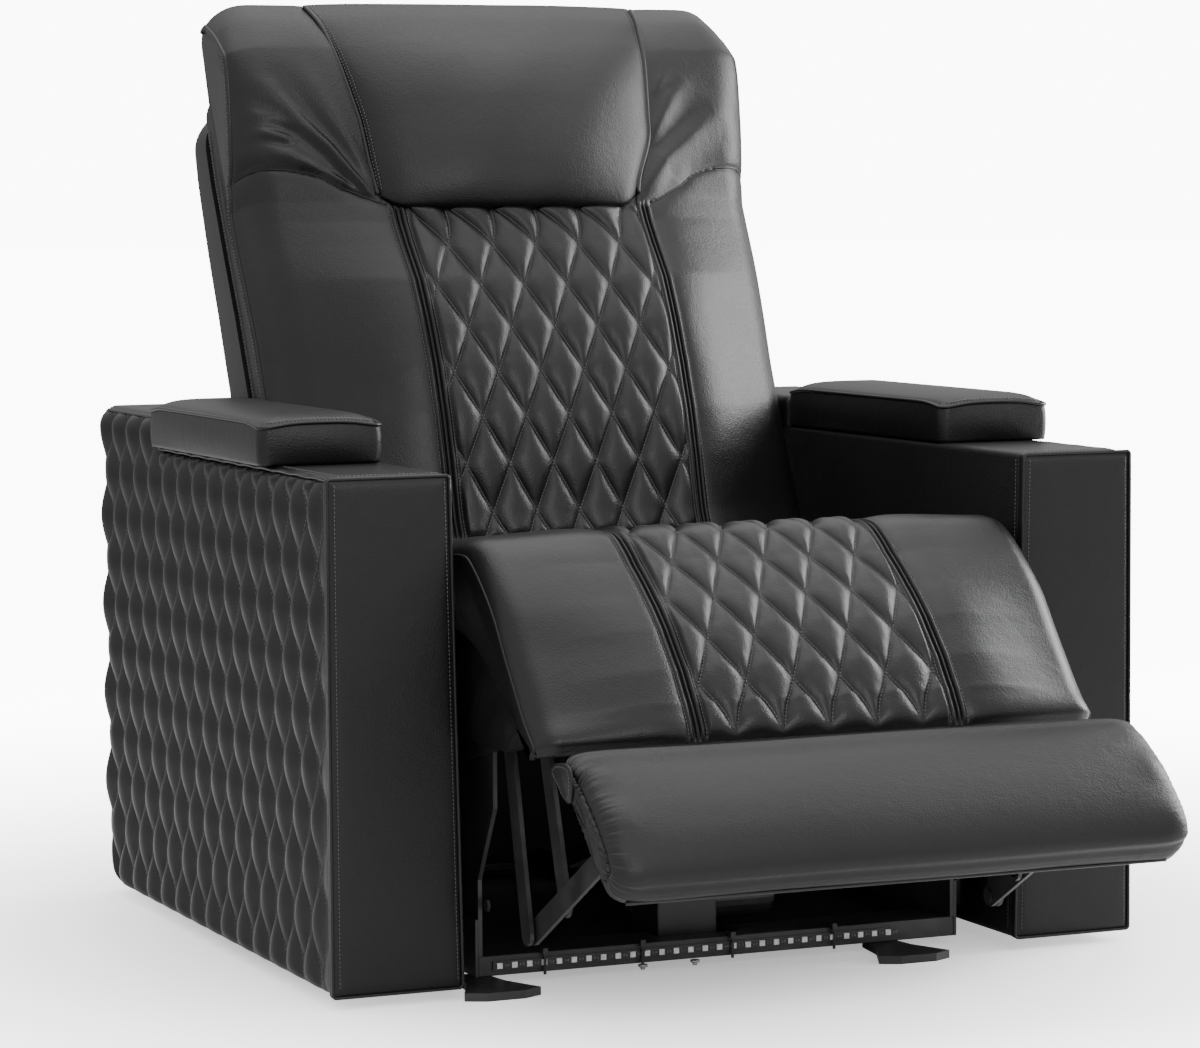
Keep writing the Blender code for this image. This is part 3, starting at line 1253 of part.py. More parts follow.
def make_back_frame():
    """The back's frame, its padded rear panel and the brackets that it turns on."""
    front = rear_line(SOFT_GAP, BACK_BOTTOM, BACK_FRAME_TOP)
    back = rear_line(BACK_FRAME_DEPTH, BACK_BOTTOM, BACK_FRAME_TOP)
    lower_half = BASE_PLATE_X - PLATE_THICKNESS / 2 - GAP
    mesh = outline_mesh("back_frame", "YZ", front + list(reversed(back)), -lower_half, lower_half)
    frame = add_piece("back_frame", mesh, "leather", "back_recline")
    shoulder = ARM_HEIGHT + REAR_ARM_RISE / 2
    wide_front = rear_line(SOFT_GAP, shoulder, BACK_FRAME_TOP)
    wide_back = rear_line(BACK_FRAME_DEPTH, shoulder, BACK_FRAME_TOP)
    half = BACK_HALF - BACK_EDGE_RADIUS / 8
    upper = outline_mesh("upper", "YZ", wide_front + list(reversed(wide_back)), -half, half)
    shape(frame, add_cutter("back_frame_upper", upper, "back_recline"), "UNION")
    inner = rear_line(BACK_FRAME_DEPTH + GAP, BACK_FRAME_BOTTOM, BACK_PANEL_TOP)
    outer = rear_line(BACK_FRAME_DEPTH + BACK_PANEL_DEPTH, BACK_FRAME_BOTTOM, BACK_PANEL_TOP)
    span = BACK_PANEL_TOP - BACK_FRAME_BOTTOM
    taper = [(y - BACK_PANEL_DEPTH * ((z - BACK_FRAME_BOTTOM) / span) ** 3 * 0.5, z)
             for y, z in outer]
    panel_loop = inner + list(reversed(taper))
    normals = path_normals(panel_loop)
    rings = []
    columns = edge_columns(BACK_HALF - GAP * 5, PAD_EDGE_RADIUS * 0.7)
    columns = [(-x, inset) for x, inset in reversed(columns)] + [(0.0, 0.0)] + columns
    for x, inset in columns:
        ring = []
        for index, (place, normal) in enumerate(zip(panel_loop, normals)):
            draw = 0.0 if index < len(inner) else inset
            ring.append((x, place[0] - normal.x * draw, place[1] - normal.y * draw))
        rings.append(ring)
    add_piece("back_rear_panel", grid_solid("back_rear_panel", rings), "leather", "back_recline")
    make_back_brackets(shoulder)


def make_back_brackets(shoulder):
    """The steel brackets from the back's pivot up the sides of its frame."""
    top = shoulder - BOARD_THICKNESS
    front = rear_line(SOFT_GAP, BACK_BOTTOM, top)
    back = rear_line(BACK_FRAME_DEPTH * 0.8, BACK_BOTTOM, top)
    eye = arc(BACK_PIVOT, LINK_HALF_WIDTH * 1.2, 180, 360, 6)
    outline = eye + back + list(reversed(front))
    for side, sign in SIDES:
        link("back_bracket", side, sign, outline, BASE_PLATE_X, "back_recline",
             [circle(BACK_PIVOT, LINK_HOLE, 12)])


def push_link_x():
    """The layer of the link that the actuator pushes, beside the gearbox."""
    return GEARBOX_RIGHT - LAYER_PITCH


def channel_x():
    """Middle of the actuator's channel."""
    return GEARBOX_RIGHT + CHANNEL_WIDTH / 2


def make_actuator():
    """The motor with its gearbox, the screw in its channel, the nut and its push link."""
    rear = MOTOR_FRONT + GEARBOX_DEPTH
    top = GEARBOX_BOTTOM + GEARBOX_HEIGHT
    low = (GEARBOX_RIGHT, MOTOR_FRONT, GEARBOX_BOTTOM)
    high = (GEARBOX_RIGHT + GEARBOX_WIDTH, rear, top)
    gearbox = add_piece("motor_gearbox", box_mesh("gearbox", low, high), "plastic", "seat_glide")
    bevel(gearbox, WOOD_BEVEL * 2, 2)
    axis = (MOTOR_FRONT + GEARBOX_DEPTH / 2, GEARBOX_BOTTOM + GEARBOX_HEIGHT / 2)
    start = GEARBOX_RIGHT + GEARBOX_WIDTH + GAP
    end = start + MOTOR_LENGTH
    motor = add_piece("motor", rod_mesh("motor", (start, *axis), (end, *axis), MOTOR_RADIUS, 20),
                      "steel", "seat_glide")
    boss = rod_mesh("boss", (end - GAP, *axis), (end + PIN_HEAD * 3, *axis), MOTOR_RADIUS * 0.8, 20)
    shape(motor, add_cutter("motor_boss", boss, "seat_glide"), "UNION")
    x, z = channel_x(), channel_middle()
    half = CHANNEL_WIDTH / 2
    bottom = z - CHANNEL_HEIGHT / 2
    inner = half - CHANNEL_WALL
    outline = [(x - half, bottom), (x + half, bottom), (x + half, bottom + CHANNEL_HEIGHT),
               (x + inner, bottom + CHANNEL_HEIGHT), (x + inner, bottom + CHANNEL_WALL),
               (x - inner, bottom + CHANNEL_WALL), (x - inner, bottom + CHANNEL_HEIGHT),
               (x - half, bottom + CHANNEL_HEIGHT)]
    channel = outline_mesh("channel", "XZ", outline, rear + GAP, rear + ACTUATOR_LENGTH)
    add_piece("actuator_channel", channel, "steel", "seat_glide")
    screw = rod_mesh("screw", (x, rear + GAP, z), (x, rear + ACTUATOR_LENGTH, z), SCREW_RADIUS, 12)
    add_piece("lead_screw", screw, "bright", "seat_glide")
    make_nut(x, z, inner)


def make_nut(x, z, inner):
    """The nut that the screw drives, with the lug that the push link is pinned to."""
    start, end = NUT_PLACE - NUT_LENGTH / 2, NUT_PLACE + NUT_LENGTH / 2
    slide = inner - RUNNING_GAP
    floor = z - CHANNEL_HEIGHT / 2 + CHANNEL_WALL + RUNNING_GAP
    lug_low = z + CHANNEL_HEIGHT / 2 + RUNNING_GAP * 2
    lug_top = lug_low + LINK_HALF_WIDTH
    nut = add_piece("drive_nut", box_mesh("nut", (x - slide, start, floor),
                                          (x + slide, end, lug_top)), "plastic",
                    "actuator_travel")
    lug_x = push_link_x() + PLATE_THICKNESS / 2 + GAP
    lug = box_mesh("lug", (lug_x, start, lug_low), (x, end, lug_top))
    shape(nut, add_cutter("nut_lug", lug, "actuator_travel"), "UNION")
    bore = rod_mesh("bore", (x, start - CUT_OVERRUN, z), (x, end + CUT_OVERRUN, z),
                    SCREW_RADIUS + RUNNING_GAP, 12)
    shape(nut, add_cutter("nut_bore", bore, "actuator_travel"), "DIFFERENCE")
    far = (DRIVE_PIVOT[0], DRIVE_PIVOT[1] - CRANK_LENGTH + PUSH_LINK_RISE)
    near = (NUT_PLACE, (lug_low + lug_top) / 2)
    half = PLATE_THICKNESS / 2
    bar = outline_mesh("push_link", "YZ", bar_outline(near, far, LINK_HALF_WIDTH * 0.8),
                       push_link_x() - half, push_link_x() + half)
    add_piece("push_link", bar, "steel", "actuator_travel")


def centre_on_floor():
    """Move the chair so that the origin is under the middle of its whole box."""
    bpy.context.view_layer.update()
    graph = bpy.context.evaluated_depsgraph_get()
    ys = []
    for piece in parts.objects:
        if piece.type == "MESH":
            evaluated = piece.evaluated_get(graph)
            ys += [(evaluated.matrix_world @ vertex.co).y for vertex in evaluated.data.vertices]
    middle = (min(ys) + max(ys)) / 2
    for empty in pivots.values():
        empty.location.y -= middle


clear_scene()
parts = make_collection("power_recliner")
cutters = make_collection("cutters")
materials = make_materials()
make_pivots()
make_base()
for side_name, side_sign in SIDES:
    make_arm(side_name, side_sign)
    make_lid(side_name, side_sign)
make_controls()
make_seat_cushion()
make_seat_frame()
make_back_cushion()
make_pillow()
make_back_frame()
make_linkage()
make_footrest()
make_actuator()
centre_on_floor()
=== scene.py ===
"""Dressed scene of the power recliner: leather, stitching, quilting, steelwork and studio."""
import json
import math

import bmesh
import bpy
import numpy as np
from mathutils import Matrix, Vector


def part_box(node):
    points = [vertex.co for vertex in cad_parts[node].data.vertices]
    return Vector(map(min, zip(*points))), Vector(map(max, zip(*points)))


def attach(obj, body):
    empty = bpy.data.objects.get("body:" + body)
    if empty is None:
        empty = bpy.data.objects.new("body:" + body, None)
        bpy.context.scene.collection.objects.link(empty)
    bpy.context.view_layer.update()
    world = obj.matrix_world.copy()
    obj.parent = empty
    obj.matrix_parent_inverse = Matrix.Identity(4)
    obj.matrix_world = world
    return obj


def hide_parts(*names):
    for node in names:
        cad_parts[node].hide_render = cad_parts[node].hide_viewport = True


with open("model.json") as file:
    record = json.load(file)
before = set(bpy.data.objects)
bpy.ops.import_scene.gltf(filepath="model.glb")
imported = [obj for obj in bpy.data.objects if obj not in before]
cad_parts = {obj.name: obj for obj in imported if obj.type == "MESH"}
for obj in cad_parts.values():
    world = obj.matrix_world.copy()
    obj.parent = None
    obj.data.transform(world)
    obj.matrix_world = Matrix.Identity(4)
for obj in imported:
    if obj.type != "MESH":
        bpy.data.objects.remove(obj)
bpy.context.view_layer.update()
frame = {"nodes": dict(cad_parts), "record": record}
nodes = frame["nodes"]
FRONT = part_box("right_arm_body")[0][1]

# Chair sizes, in metres, with Y = 0 at the front of the arms
OPENING_HALF = 0.3275
ARM_OUTER = 0.46
ARM_LENGTH = 0.8
ARM_HEIGHT = 0.536
ARM_BOTTOM = 0.012
REAR_RISE = 0.036
LID_FRONT = 0.188
LID_REAR = 0.584
SEAT_HALF = 0.3105
SEAT_HEIGHT = 0.463
SEAT_LIP = 0.268
SEAT_REACH = 0.183
SEAT_REAR = 0.42
SEAT_CROWN = 0.023
BACK_HALF = 0.319
BACK_TOP = 1.036
BACK_BOTTOM = 0.43
BACK_LEAN = 0.37
BACK_FOOT = 0.424
BACK_BULGE = 0.017
PILLOW_BOTTOM = 0.797
SIDES = (("right", -1.0), ("left", 1.0))

# Side-view outlines, as shares of reach or lean and of rise
SEAT_TOP_SHARES = ((1.0, 0.67), (0.67, 0.85), (0.46, 0.95), (0.337, 1.0), (0.272, 0.935),
                   (0.182, 0.7), (0.113, 0.44), (0.045, 0.19), (0.01, 0.09), (0.0, 0.02))
SEAT_UNDER_SHARES = ((0.02, 0.0), (0.075, 0.075), (0.135, 0.2), (0.25, 0.43), (0.36, 0.53),
                     (0.5, 0.525), (0.75, 0.42), (0.985, 0.29), (1.0, 0.35))
BACK_FRONT_SHARES = ((0.0, 0.0), (0.055, 0.062), (0.187, 0.246), (0.316, 0.432), (0.459, 0.607),
                     (0.535, 0.7), (0.625, 0.8), (0.72, 0.89), (0.83, 0.965), (0.93, 1.0))
BACK_REAR_SHARES = ((1.0, 0.985), (1.02, 0.93), (0.99, 0.85), (0.86, 0.66), (0.73, 0.51),
                    (0.63, 0.4), (0.515, 0.257), (0.4, 0.09), (0.27, -0.035), (0.11, -0.045))


# Curves and grids

def catmull(points, per_span=24):
    """A dense smooth curve through points."""
    pts = np.asarray(points, float)
    pts = np.vstack([pts[:1], pts, pts[-1:]])
    t = np.linspace(0, 1, per_span, endpoint=False)[:, None]
    spans = []
    for i in range(1, len(pts) - 2):
        a, b, c, d = pts[i - 1], pts[i], pts[i + 1], pts[i + 2]
        spans.append(0.5 * (2 * b + (c - a) * t + (2 * a - 5 * b + 4 * c - d) * t ** 2
                            + (3 * b - a - 3 * c + d) * t ** 3))
    return np.vstack([*spans, pts[-1:]])


def lengths(curve):
    """Distance travelled along a curve at each of its points."""
    return np.concatenate([[0.0], np.cumsum(np.linalg.norm(np.diff(curve, axis=0), axis=1))])


def along(curve, s):
    """Points of a curve at distances along it."""
    travelled = lengths(curve)
    return np.stack([np.interp(s, travelled, curve[:, k]) for k in range(curve.shape[1])], -1)


def side_normals(curve):
    """Normals of a side-view curve, to the left of its travel."""
    way = np.gradient(curve, axis=0)
    way /= np.linalg.norm(way, axis=1, keepdims=True)
    return np.stack([-way[:, 1], way[:, 0]], -1)


def smoothstep(low, high, value):
    """Rise smoothly from 0 at low to 1 at high."""
    t = np.clip((value - low) / (high - low), 0, 1)
    return t * t * (3 - 2 * t)


def hill(value, centre, width):
    """A soft bump of height 1."""
    return np.exp(-((value - centre) / width) ** 2)


def grid_faces(rows, columns, wrap=False):
    """Faces of a grid of points, row by row."""
    r = np.arange(rows - 1)[:, None]
    c = np.arange(columns if wrap else columns - 1)[None, :]
    after = (c + 1) % columns
    quads = np.stack([r * columns + c, r * columns + after, (r + 1) * columns + after,
                      (r + 1) * columns + c], -1)
    return quads.reshape(-1, 4)


def capped_faces(rings, around):
    """Faces between closed rings, with a flat face at each end."""
    return [*grid_faces(rings, around, wrap=True), range(around)[::-1],
            range((rings - 1) * around, rings * around)]


def close_slab(faces, rows, columns):
    """The faces of a grid with those of a second grid behind it and of the rim between them."""
    total = rows * columns
    rim = (list(range(columns)) + [i * columns + columns - 1 for i in range(1, rows)]
           + [(rows - 1) * columns + j for j in range(columns - 2, -1, -1)]
           + [i * columns for i in range(rows - 2, 0, -1)])
    return (list(faces) + [f[::-1] + total for f in grid_faces(rows, columns)]
            + [(a, b, b + total, a + total) for a, b in zip(rim, rim[1:] + rim[:1])])


def line_at(x, y, z):
    """Points of a line whose coordinates are numbers or arrays."""
    return np.stack(np.broadcast_arrays(x, y, z), -1).astype(float)


def facing(x, y, z, count):
    """The same outward direction for each of a number of points."""
    return np.tile([float(x), float(y), float(z)], (count, 1))


def new_mesh(name, points, faces):
    """A mesh from points and faces."""
    mesh = bpy.data.meshes.new(name)
    mesh.from_pydata([tuple(p) for p in np.asarray(points, float)], [],
                     [tuple(int(i) for i in f) for f in faces])
    return mesh


def make_piece(name, points, faces, material, body, replaced=(), smooth=True, crease=None,
               merge=None):
    """A finished piece from points in chair coordinates, riding on a body."""
    mesh = new_mesh(name, points, faces)
    mesh.validate()
    form = bmesh.new()
    form.from_mesh(mesh)
    if merge:
        bmesh.ops.remove_doubles(form, verts=form.verts, dist=merge)
    bmesh.ops.recalc_face_normals(form, faces=form.faces)
    form.to_mesh(mesh)
    form.free()
    return place_piece(name, mesh, material, body, replaced, smooth, crease)


def place_piece(name, mesh, material, body, replaced=(), smooth=True, crease=None):
    """Put a mesh in the scene and fasten it to a body."""
    if smooth:
        mesh.shade_smooth()
    if crease:
        mesh.set_sharp_from_angle(angle=math.radians(crease))
    mesh.materials.append(material)
    piece = bpy.data.objects.new(name, mesh)
    piece.location.y = FRONT
    bpy.context.scene.collection.objects.link(piece)
    bpy.context.view_layer.update()
    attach(piece, body)
    if replaced:
        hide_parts(*replaced)
    return piece


class Sheet:
    """A fine grid of points with normals, read at any place between them."""

    def __init__(self, rows, columns, points):
        self.rows, self.columns, self.points = rows, columns, points
        du = np.gradient(points, axis=0)
        dv = np.gradient(points, axis=1)
        normal = np.cross(du, dv)
        self.normals = normal / np.maximum(np.linalg.norm(normal, axis=-1, keepdims=True), 1e-12)

    def read(self, grid, row, column):
        """A grid's value at a row and column place."""
        i = np.interp(row, self.rows, np.arange(len(self.rows)))
        j = np.interp(column, self.columns, np.arange(len(self.columns)))
        i0 = np.clip(i.astype(int), 0, len(self.rows) - 2)
        j0 = np.clip(j.astype(int), 0, len(self.columns) - 2)
        fi, fj = (i - i0)[..., None], (j - j0)[..., None]
        return ((grid[i0, j0] * (1 - fi) + grid[i0 + 1, j0] * fi) * (1 - fj)
                + (grid[i0, j0 + 1] * (1 - fi) + grid[i0 + 1, j0 + 1] * fi) * fj)

    def at(self, row, column):
        """The point and normal at a row and column place."""
        row, column = np.asarray(row, float), np.asarray(column, float)
        return self.read(self.points, row, column), self.read(self.normals, row, column)


# Stitches and piping

def stitch_mesh(runs, pitch, length, radius, lift):
    """Points and faces of rows of stitches. Each run is (points, normals)."""
    all_points, all_faces = [], []
    shape = np.array([[-0.5, 0, 0], [-0.3, 1, 0], [-0.3, 0, 1], [-0.3, -1, 0], [-0.3, 0, -1],
                      [0.3, 1, 0], [0.3, 0, 1], [0.3, -1, 0], [0.3, 0, -1], [0.5, 0, 0]])
    faces = [(0, 2, 1), (0, 3, 2), (0, 4, 3), (0, 1, 4), (1, 2, 6, 5), (2, 3, 7, 6),
             (3, 4, 8, 7), (4, 1, 5, 8), (5, 6, 9), (6, 7, 9), (7, 8, 9), (8, 5, 9)]
    base = 0
    for points, normals in runs:
        total = lengths(points)[-1]
        count = int(total / pitch)
        if count < 1:
            continue
        spots = (np.arange(count) + 0.5) * total / count
        centre = along(points, spots)
        travelled = lengths(points)
        normal = np.stack([np.interp(spots, travelled, normals[:, k]) for k in range(3)], -1)
        way = along(points, spots + length / 2) - along(points, spots - length / 2)
        way /= np.maximum(np.linalg.norm(way, axis=1, keepdims=True), 1e-9)
        side = np.cross(normal, way)
        side /= np.maximum(np.linalg.norm(side, axis=1, keepdims=True), 1e-9)
        up = np.cross(way, side)
        for k in range(count):
            all_points.append(centre[k] + up[k] * lift + shape[:, :1] * way[k] * length
                              + shape[:, 1:2] * side[k] * radius + shape[:, 2:] * up[k] * radius)
            all_faces += [tuple(base + i for i in f) for f in faces]
            base += len(shape)
    return np.vstack(all_points), all_faces


def make_stitches(name, runs, body, pitch=0.0042, length=0.003, radius=0.00042, lift=0.0007):
    """Rows of stitches as one piece."""
    points, faces = stitch_mesh(runs, pitch, length, radius, lift)
    return make_piece(name, points, faces, thread, body)


def tube_grid(path, radius, sides=8):
    """A closed tube along a path, as points and faces."""
    path = np.asarray(path, float)
    way = np.gradient(path, axis=0)
    way /= np.maximum(np.linalg.norm(way, axis=1, keepdims=True), 1e-12)
    guide = np.array([0.0, 0.0, 1.0]) if abs(way[0, 2]) < 0.9 else np.array([1.0, 0.0, 0.0])
    rings = []
    for p, t in zip(path, way):
        a = np.cross(t, guide)
        a /= np.linalg.norm(a)
        guide = np.cross(a, t)
        turn = np.linspace(0, 2 * np.pi, sides, endpoint=False)[:, None]
        rings.append(p + radius * (np.cos(turn) * a + np.sin(turn) * guide))
    return np.vstack(rings), capped_faces(len(path), sides)


def make_tube(name, path, radius, material, body, sides=8):
    """A tube along a path as a piece."""
    return make_piece(name, *tube_grid(path, radius, sides), material, body)


def join_forms(forms):
    """Several (points, faces) forms as one."""
    points, faces, base = [], [], 0
    for p, f in forms:
        points.append(np.asarray(p, float))
        faces += [tuple(int(i) + base for i in face) for face in f]
        base += len(p)
    return np.vstack(points), faces


def box_form(low, high):
    """A box as points and faces."""
    (x0, y0, z0), (x1, y1, z1) = low, high
    points = np.array([[x, y, z] for x in (x0, x1) for y in (y0, y1) for z in (z0, z1)])
    faces = [(0, 1, 3, 2), (4, 6, 7, 5), (0, 4, 5, 1), (2, 3, 7, 6), (0, 2, 6, 4), (1, 5, 7, 3)]
    return points, faces


# Materials

LEATHER_GRAIN = 620.0
LEATHER_SHEEN = 0.235


def new_material(name):
    """An empty Principled material and its handy nodes."""
    material = bpy.data.materials.new(name)
    material.use_nodes = True
    tree = material.node_tree
    return material, tree, tree.nodes["Principled BSDF"]


def add_node(tree, kind, **settings):
    """A node with its settings, and its inputs set to values or joined to other outputs."""
    node = tree.nodes.new(kind)
    for key, value in settings.items():
        if hasattr(node, key):
            setattr(node, key, value)
        else:
            feed(tree, node.inputs[key.replace("_", " ").title()], value)
    return node


def feed(tree, target, value):
    """Set an input to a value, or join it to another node's output."""
    if isinstance(value, bpy.types.NodeSocket):
        tree.links.new(value, target)
    else:
        target.default_value = value


def calculate(tree, operation, *values):
    """The output of a node that calculates with values or other outputs."""
    node = add_node(tree, "ShaderNodeMath", operation=operation)
    for target, value in zip(node.inputs, values):
        feed(tree, target, value)
    return node.outputs[0]


def own_place(tree):
    """The place on a piece, in its own coordinates."""
    return tree.nodes.new("ShaderNodeTexCoord").outputs["Object"]


def surface_group():
    """A group that gives leather its grain height and its soft shade variation."""
    group = bpy.data.node_groups.new("leather_surface", "ShaderNodeTree")
    for name, way in (("Grain", "INPUT"), ("Shade", "OUTPUT"), ("Height", "OUTPUT")):
        group.interface.new_socket(name, in_out=way, socket_type="NodeSocketFloat")
    start = group.nodes.new("NodeGroupInput")
    end = group.nodes.new("NodeGroupOutput")
    place = own_place(group)
    cells = add_node(group, "ShaderNodeTexVoronoi", feature="SMOOTH_F1", Smoothness=0.4,
                     Vector=place, Scale=start.outputs["Grain"])
    fine = add_node(group, "ShaderNodeTexNoise", Vector=place, Scale=420.0, Detail=3.0)
    creases = add_node(group, "ShaderNodeTexNoise", Vector=place, Scale=55.0, Detail=4.0,
                       Distortion=0.6)
    broad = add_node(group, "ShaderNodeTexNoise", Vector=place, Scale=5.0, Detail=3.0)
    grain = calculate(group, "MULTIPLY", cells.outputs["Distance"], 0.7)
    grain = calculate(group, "MULTIPLY_ADD", fine.outputs["Fac"], 0.5, grain)
    grain = calculate(group, "MULTIPLY_ADD", creases.outputs["Fac"], 1.4, grain)
    group.links.new(broad.outputs["Fac"], end.inputs["Shade"])
    group.links.new(grain, end.inputs["Height"])
    return group


def set_shades(tree, shader, source, dark, light, low=0.0, high=1.0):
    """A base colour that runs from a dark to a light shade with its source."""
    colour = add_node(tree, "ShaderNodeValToRGB", Fac=source)
    for stop, place, shade in zip(colour.color_ramp.elements, (low, high), (dark, light)):
        stop.position, stop.color = place, (*shade, 1.0)
    tree.links.new(colour.outputs["Color"], shader.inputs["Base Color"])


def set_gloss(tree, shader, source, smoothest, roughest):
    """A roughness that changes with its source."""
    gloss = add_node(tree, "ShaderNodeMapRange", Value=source, To_Min=smoothest, To_Max=roughest)
    tree.links.new(gloss.outputs["Result"], shader.inputs["Roughness"])


def set_relief(tree, shader, source, strength, depth):
    """A fine surface relief."""
    relief = add_node(tree, "ShaderNodeBump", Strength=strength, Distance=depth, Height=source)
    tree.links.new(relief.outputs["Normal"], shader.inputs["Normal"])


def leather_material(name, dark, light, roughness, bump):
    """Dyed leather: fine grain, soft creases, slight changes of shade and gloss."""
    material, tree, shader = new_material(name)
    surface = tree.nodes.new("ShaderNodeGroup")
    surface.node_tree = leather_surface
    surface.inputs["Grain"].default_value = LEATHER_GRAIN
    shade = surface.outputs["Shade"]
    set_shades(tree, shader, shade, dark, light, 0.3, 0.7)
    set_gloss(tree, shader, shade, roughness - 0.05, roughness + 0.07)
    set_relief(tree, shader, surface.outputs["Height"], bump, 0.0006)
    shader.inputs["Specular IOR Level"].default_value = LEATHER_SHEEN
    return material


def hard_material(name, dark, light, roughness, metallic=0.0, scale=40.0, bump=0.12):
    """Painted steel, plastic or thread: two shades, uneven gloss and a fine texture."""
    material, tree, shader = new_material(name)
    place = own_place(tree)
    noise = add_node(tree, "ShaderNodeTexNoise", Vector=place, Scale=scale, Detail=5.0)
    fine = add_node(tree, "ShaderNodeTexNoise", Vector=place, Scale=scale * 22, Detail=2.0)
    set_shades(tree, shader, noise.outputs["Fac"], dark, light, 0.35, 0.68)
    set_gloss(tree, shader, noise.outputs["Fac"], roughness - 0.06, roughness + 0.1)
    set_relief(tree, shader, fine.outputs["Fac"], bump, 0.0004)
    shader.inputs["Metallic"].default_value = metallic
    return material


def wood_material_painted_shade():
    """Plywood with long grain, darkened to near black: painted shade of the chair's shaded
    underside.
    """
    material, tree, shader = new_material("plywood")
    stretch = add_node(tree, "ShaderNodeMapping", Vector=own_place(tree), Scale=(3.0, 60.0, 60.0))
    rings = add_node(tree, "ShaderNodeTexNoise", Vector=stretch.outputs["Vector"], Scale=2.0,
                     Detail=6.0, Distortion=0.8)
    set_shades(tree, shader, rings.outputs["Fac"], (0.005, 0.0045, 0.004), (0.014, 0.012, 0.01))
    set_relief(tree, shader, rings.outputs["Fac"], 0.25, 0.0005)
    shader.inputs["Roughness"].default_value = 0.68
    return material


def cloth_material():
    """Black woven lining cloth."""
    material, tree, shader = new_material("lining_cloth")
    place = own_place(tree)
    threads = [add_node(tree, "ShaderNodeTexWave", bands_direction=way, Vector=place, Scale=260.0,
                        Distortion=0.4).outputs["Fac"] for way in ("X", "Z")]
    weave = calculate(tree, "MAXIMUM", *threads)
    set_shades(tree, shader, weave, (0.006, 0.006, 0.006), (0.022, 0.022, 0.023))
    set_relief(tree, shader, weave, 0.4, 0.0004)
    shader.inputs["Roughness"].default_value = 0.9
    return material


leather_surface = surface_group()
BLACK_SHADES = ((0.0027, 0.0027, 0.0029), (0.0043, 0.0043, 0.0045))
leather = leather_material("black_leather", *BLACK_SHADES, 0.41, 0.55)
quilt_leather = leather_material("quilted_leather", *BLACK_SHADES, 0.36, 0.45)
# A slightly darker copy of the black leather: painted shade on the seat box sides under the seat,
# along the wing seam lines and on the seat's edge piping.
leather_painted_shade = leather_material("darker_leather_painted_shade", (0.0024, 0.0024, 0.0026),
                                (0.0038, 0.0038, 0.004), 0.44, 0.25)
shell_leather = leather_material("shell_leather", (0.005, 0.005, 0.0053),
                                 (0.0075, 0.0075, 0.0079), 0.42, 0.25)
# A lighter copy of the black leather for the piping: painted highlight along the round piping.
piping_painted_highlight = leather_material("piping_painted_highlight", (0.0065, 0.0065, 0.0068),
                                  (0.0105, 0.0105, 0.011), 0.32, 0.2)
# The black thread is coloured grey: painted highlight, so the stitches read as light beads.
thread = hard_material("black_thread_painted_highlight", (0.048, 0.048, 0.05), (0.088, 0.088, 0.091), 0.45,
                       scale=900.0, bump=0.3)
steel = hard_material("black_steel", (0.016, 0.016, 0.017), (0.03, 0.03, 0.031), 0.36,
                      metallic=0.25, scale=30.0)
bright = hard_material("bright_steel", (0.42, 0.42, 0.43), (0.62, 0.62, 0.62), 0.28,
                       metallic=1.0, scale=60.0)
plastic = hard_material("black_plastic", (0.01, 0.01, 0.011), (0.016, 0.016, 0.017), 0.42,
                        scale=25.0, bump=0.2)
strip_finish = hard_material("strip_board", (0.008, 0.008, 0.009), (0.014, 0.014, 0.015), 0.3,
                             scale=80.0)
chip_finish = hard_material("chip_white", (0.55, 0.55, 0.53), (0.75, 0.75, 0.72), 0.35,
                            scale=300.0)
part_finish = hard_material("chip_grey", (0.05, 0.05, 0.05), (0.1, 0.1, 0.1), 0.4, scale=300.0)
button_finish = hard_material("button_silver", (0.35, 0.35, 0.36), (0.5, 0.5, 0.51), 0.3,
                              metallic=0.8, scale=50.0)
wood = wood_material_painted_shade()
lining = cloth_material()

CAD_FINISH = {"leather": leather, "steel": steel, "wood": wood, "plastic": plastic,
              "bright": bright, "lining": lining, "strip": strip_finish, "button": button_finish}
# The hinge leaves take the black steel in place of their slot's finish: painted shade, so the gap
# under each lid reads dark.
HINGE_LEAVES_PAINTED_SHADE = {"right_hinge_leaf": steel, "left_hinge_leaf": steel}
slot_of = {part["node"]: part["material_slot"] for part in frame["record"]["subparts"]}
for node_name, node in nodes.items():
    node.data.materials.clear()
    node.data.materials.append(HINGE_LEAVES_PAINTED_SHADE.get(node_name, CAD_FINISH[slot_of[node_name]]))


# Quilting

def pillow_profile(distance):
    """A pillow's round section: 0 on a seam, 1 in its middle."""
    t = np.clip(distance, 0, 1)
    return np.sqrt(np.maximum(0.0, 1 - (1 - t) ** 2))


def lattice(node, step, low, high):
    """Evenly spaced places that hold a node, between a low and a high end."""
    return node + step * np.arange(-int((node - low) / step), int((high - node) / step) + 1)


def seam_places(across, along_it, cell, rise):
    """Places against the two families of seams, which lie at whole numbers."""
    return across / cell + along_it / rise, across / cell - along_it / rise


def quilt_height(p, q):
    """Softly domed diamonds between two families of seams, at whole numbers of p and q."""
    dp = 2 * np.abs(p - np.round(p))
    dq = 2 * np.abs(q - np.round(q))
    dome = (1 - (1 - dp) ** 2.7) * (1 - (1 - dq) ** 2.7)
    tight = pillow_profile(dp * 1.9) * pillow_profile(dq * 1.9)
    pucker = (0.12 * np.sin(25 * p + 2 * q) * np.exp(-dq * 5)
              + 0.12 * np.sin(25 * q + 1.5 * p) * np.exp(-dp * 5))
    return np.clip(0.72 * dome + 0.28 * tight + pucker * np.minimum(dp, dq), 0, None)


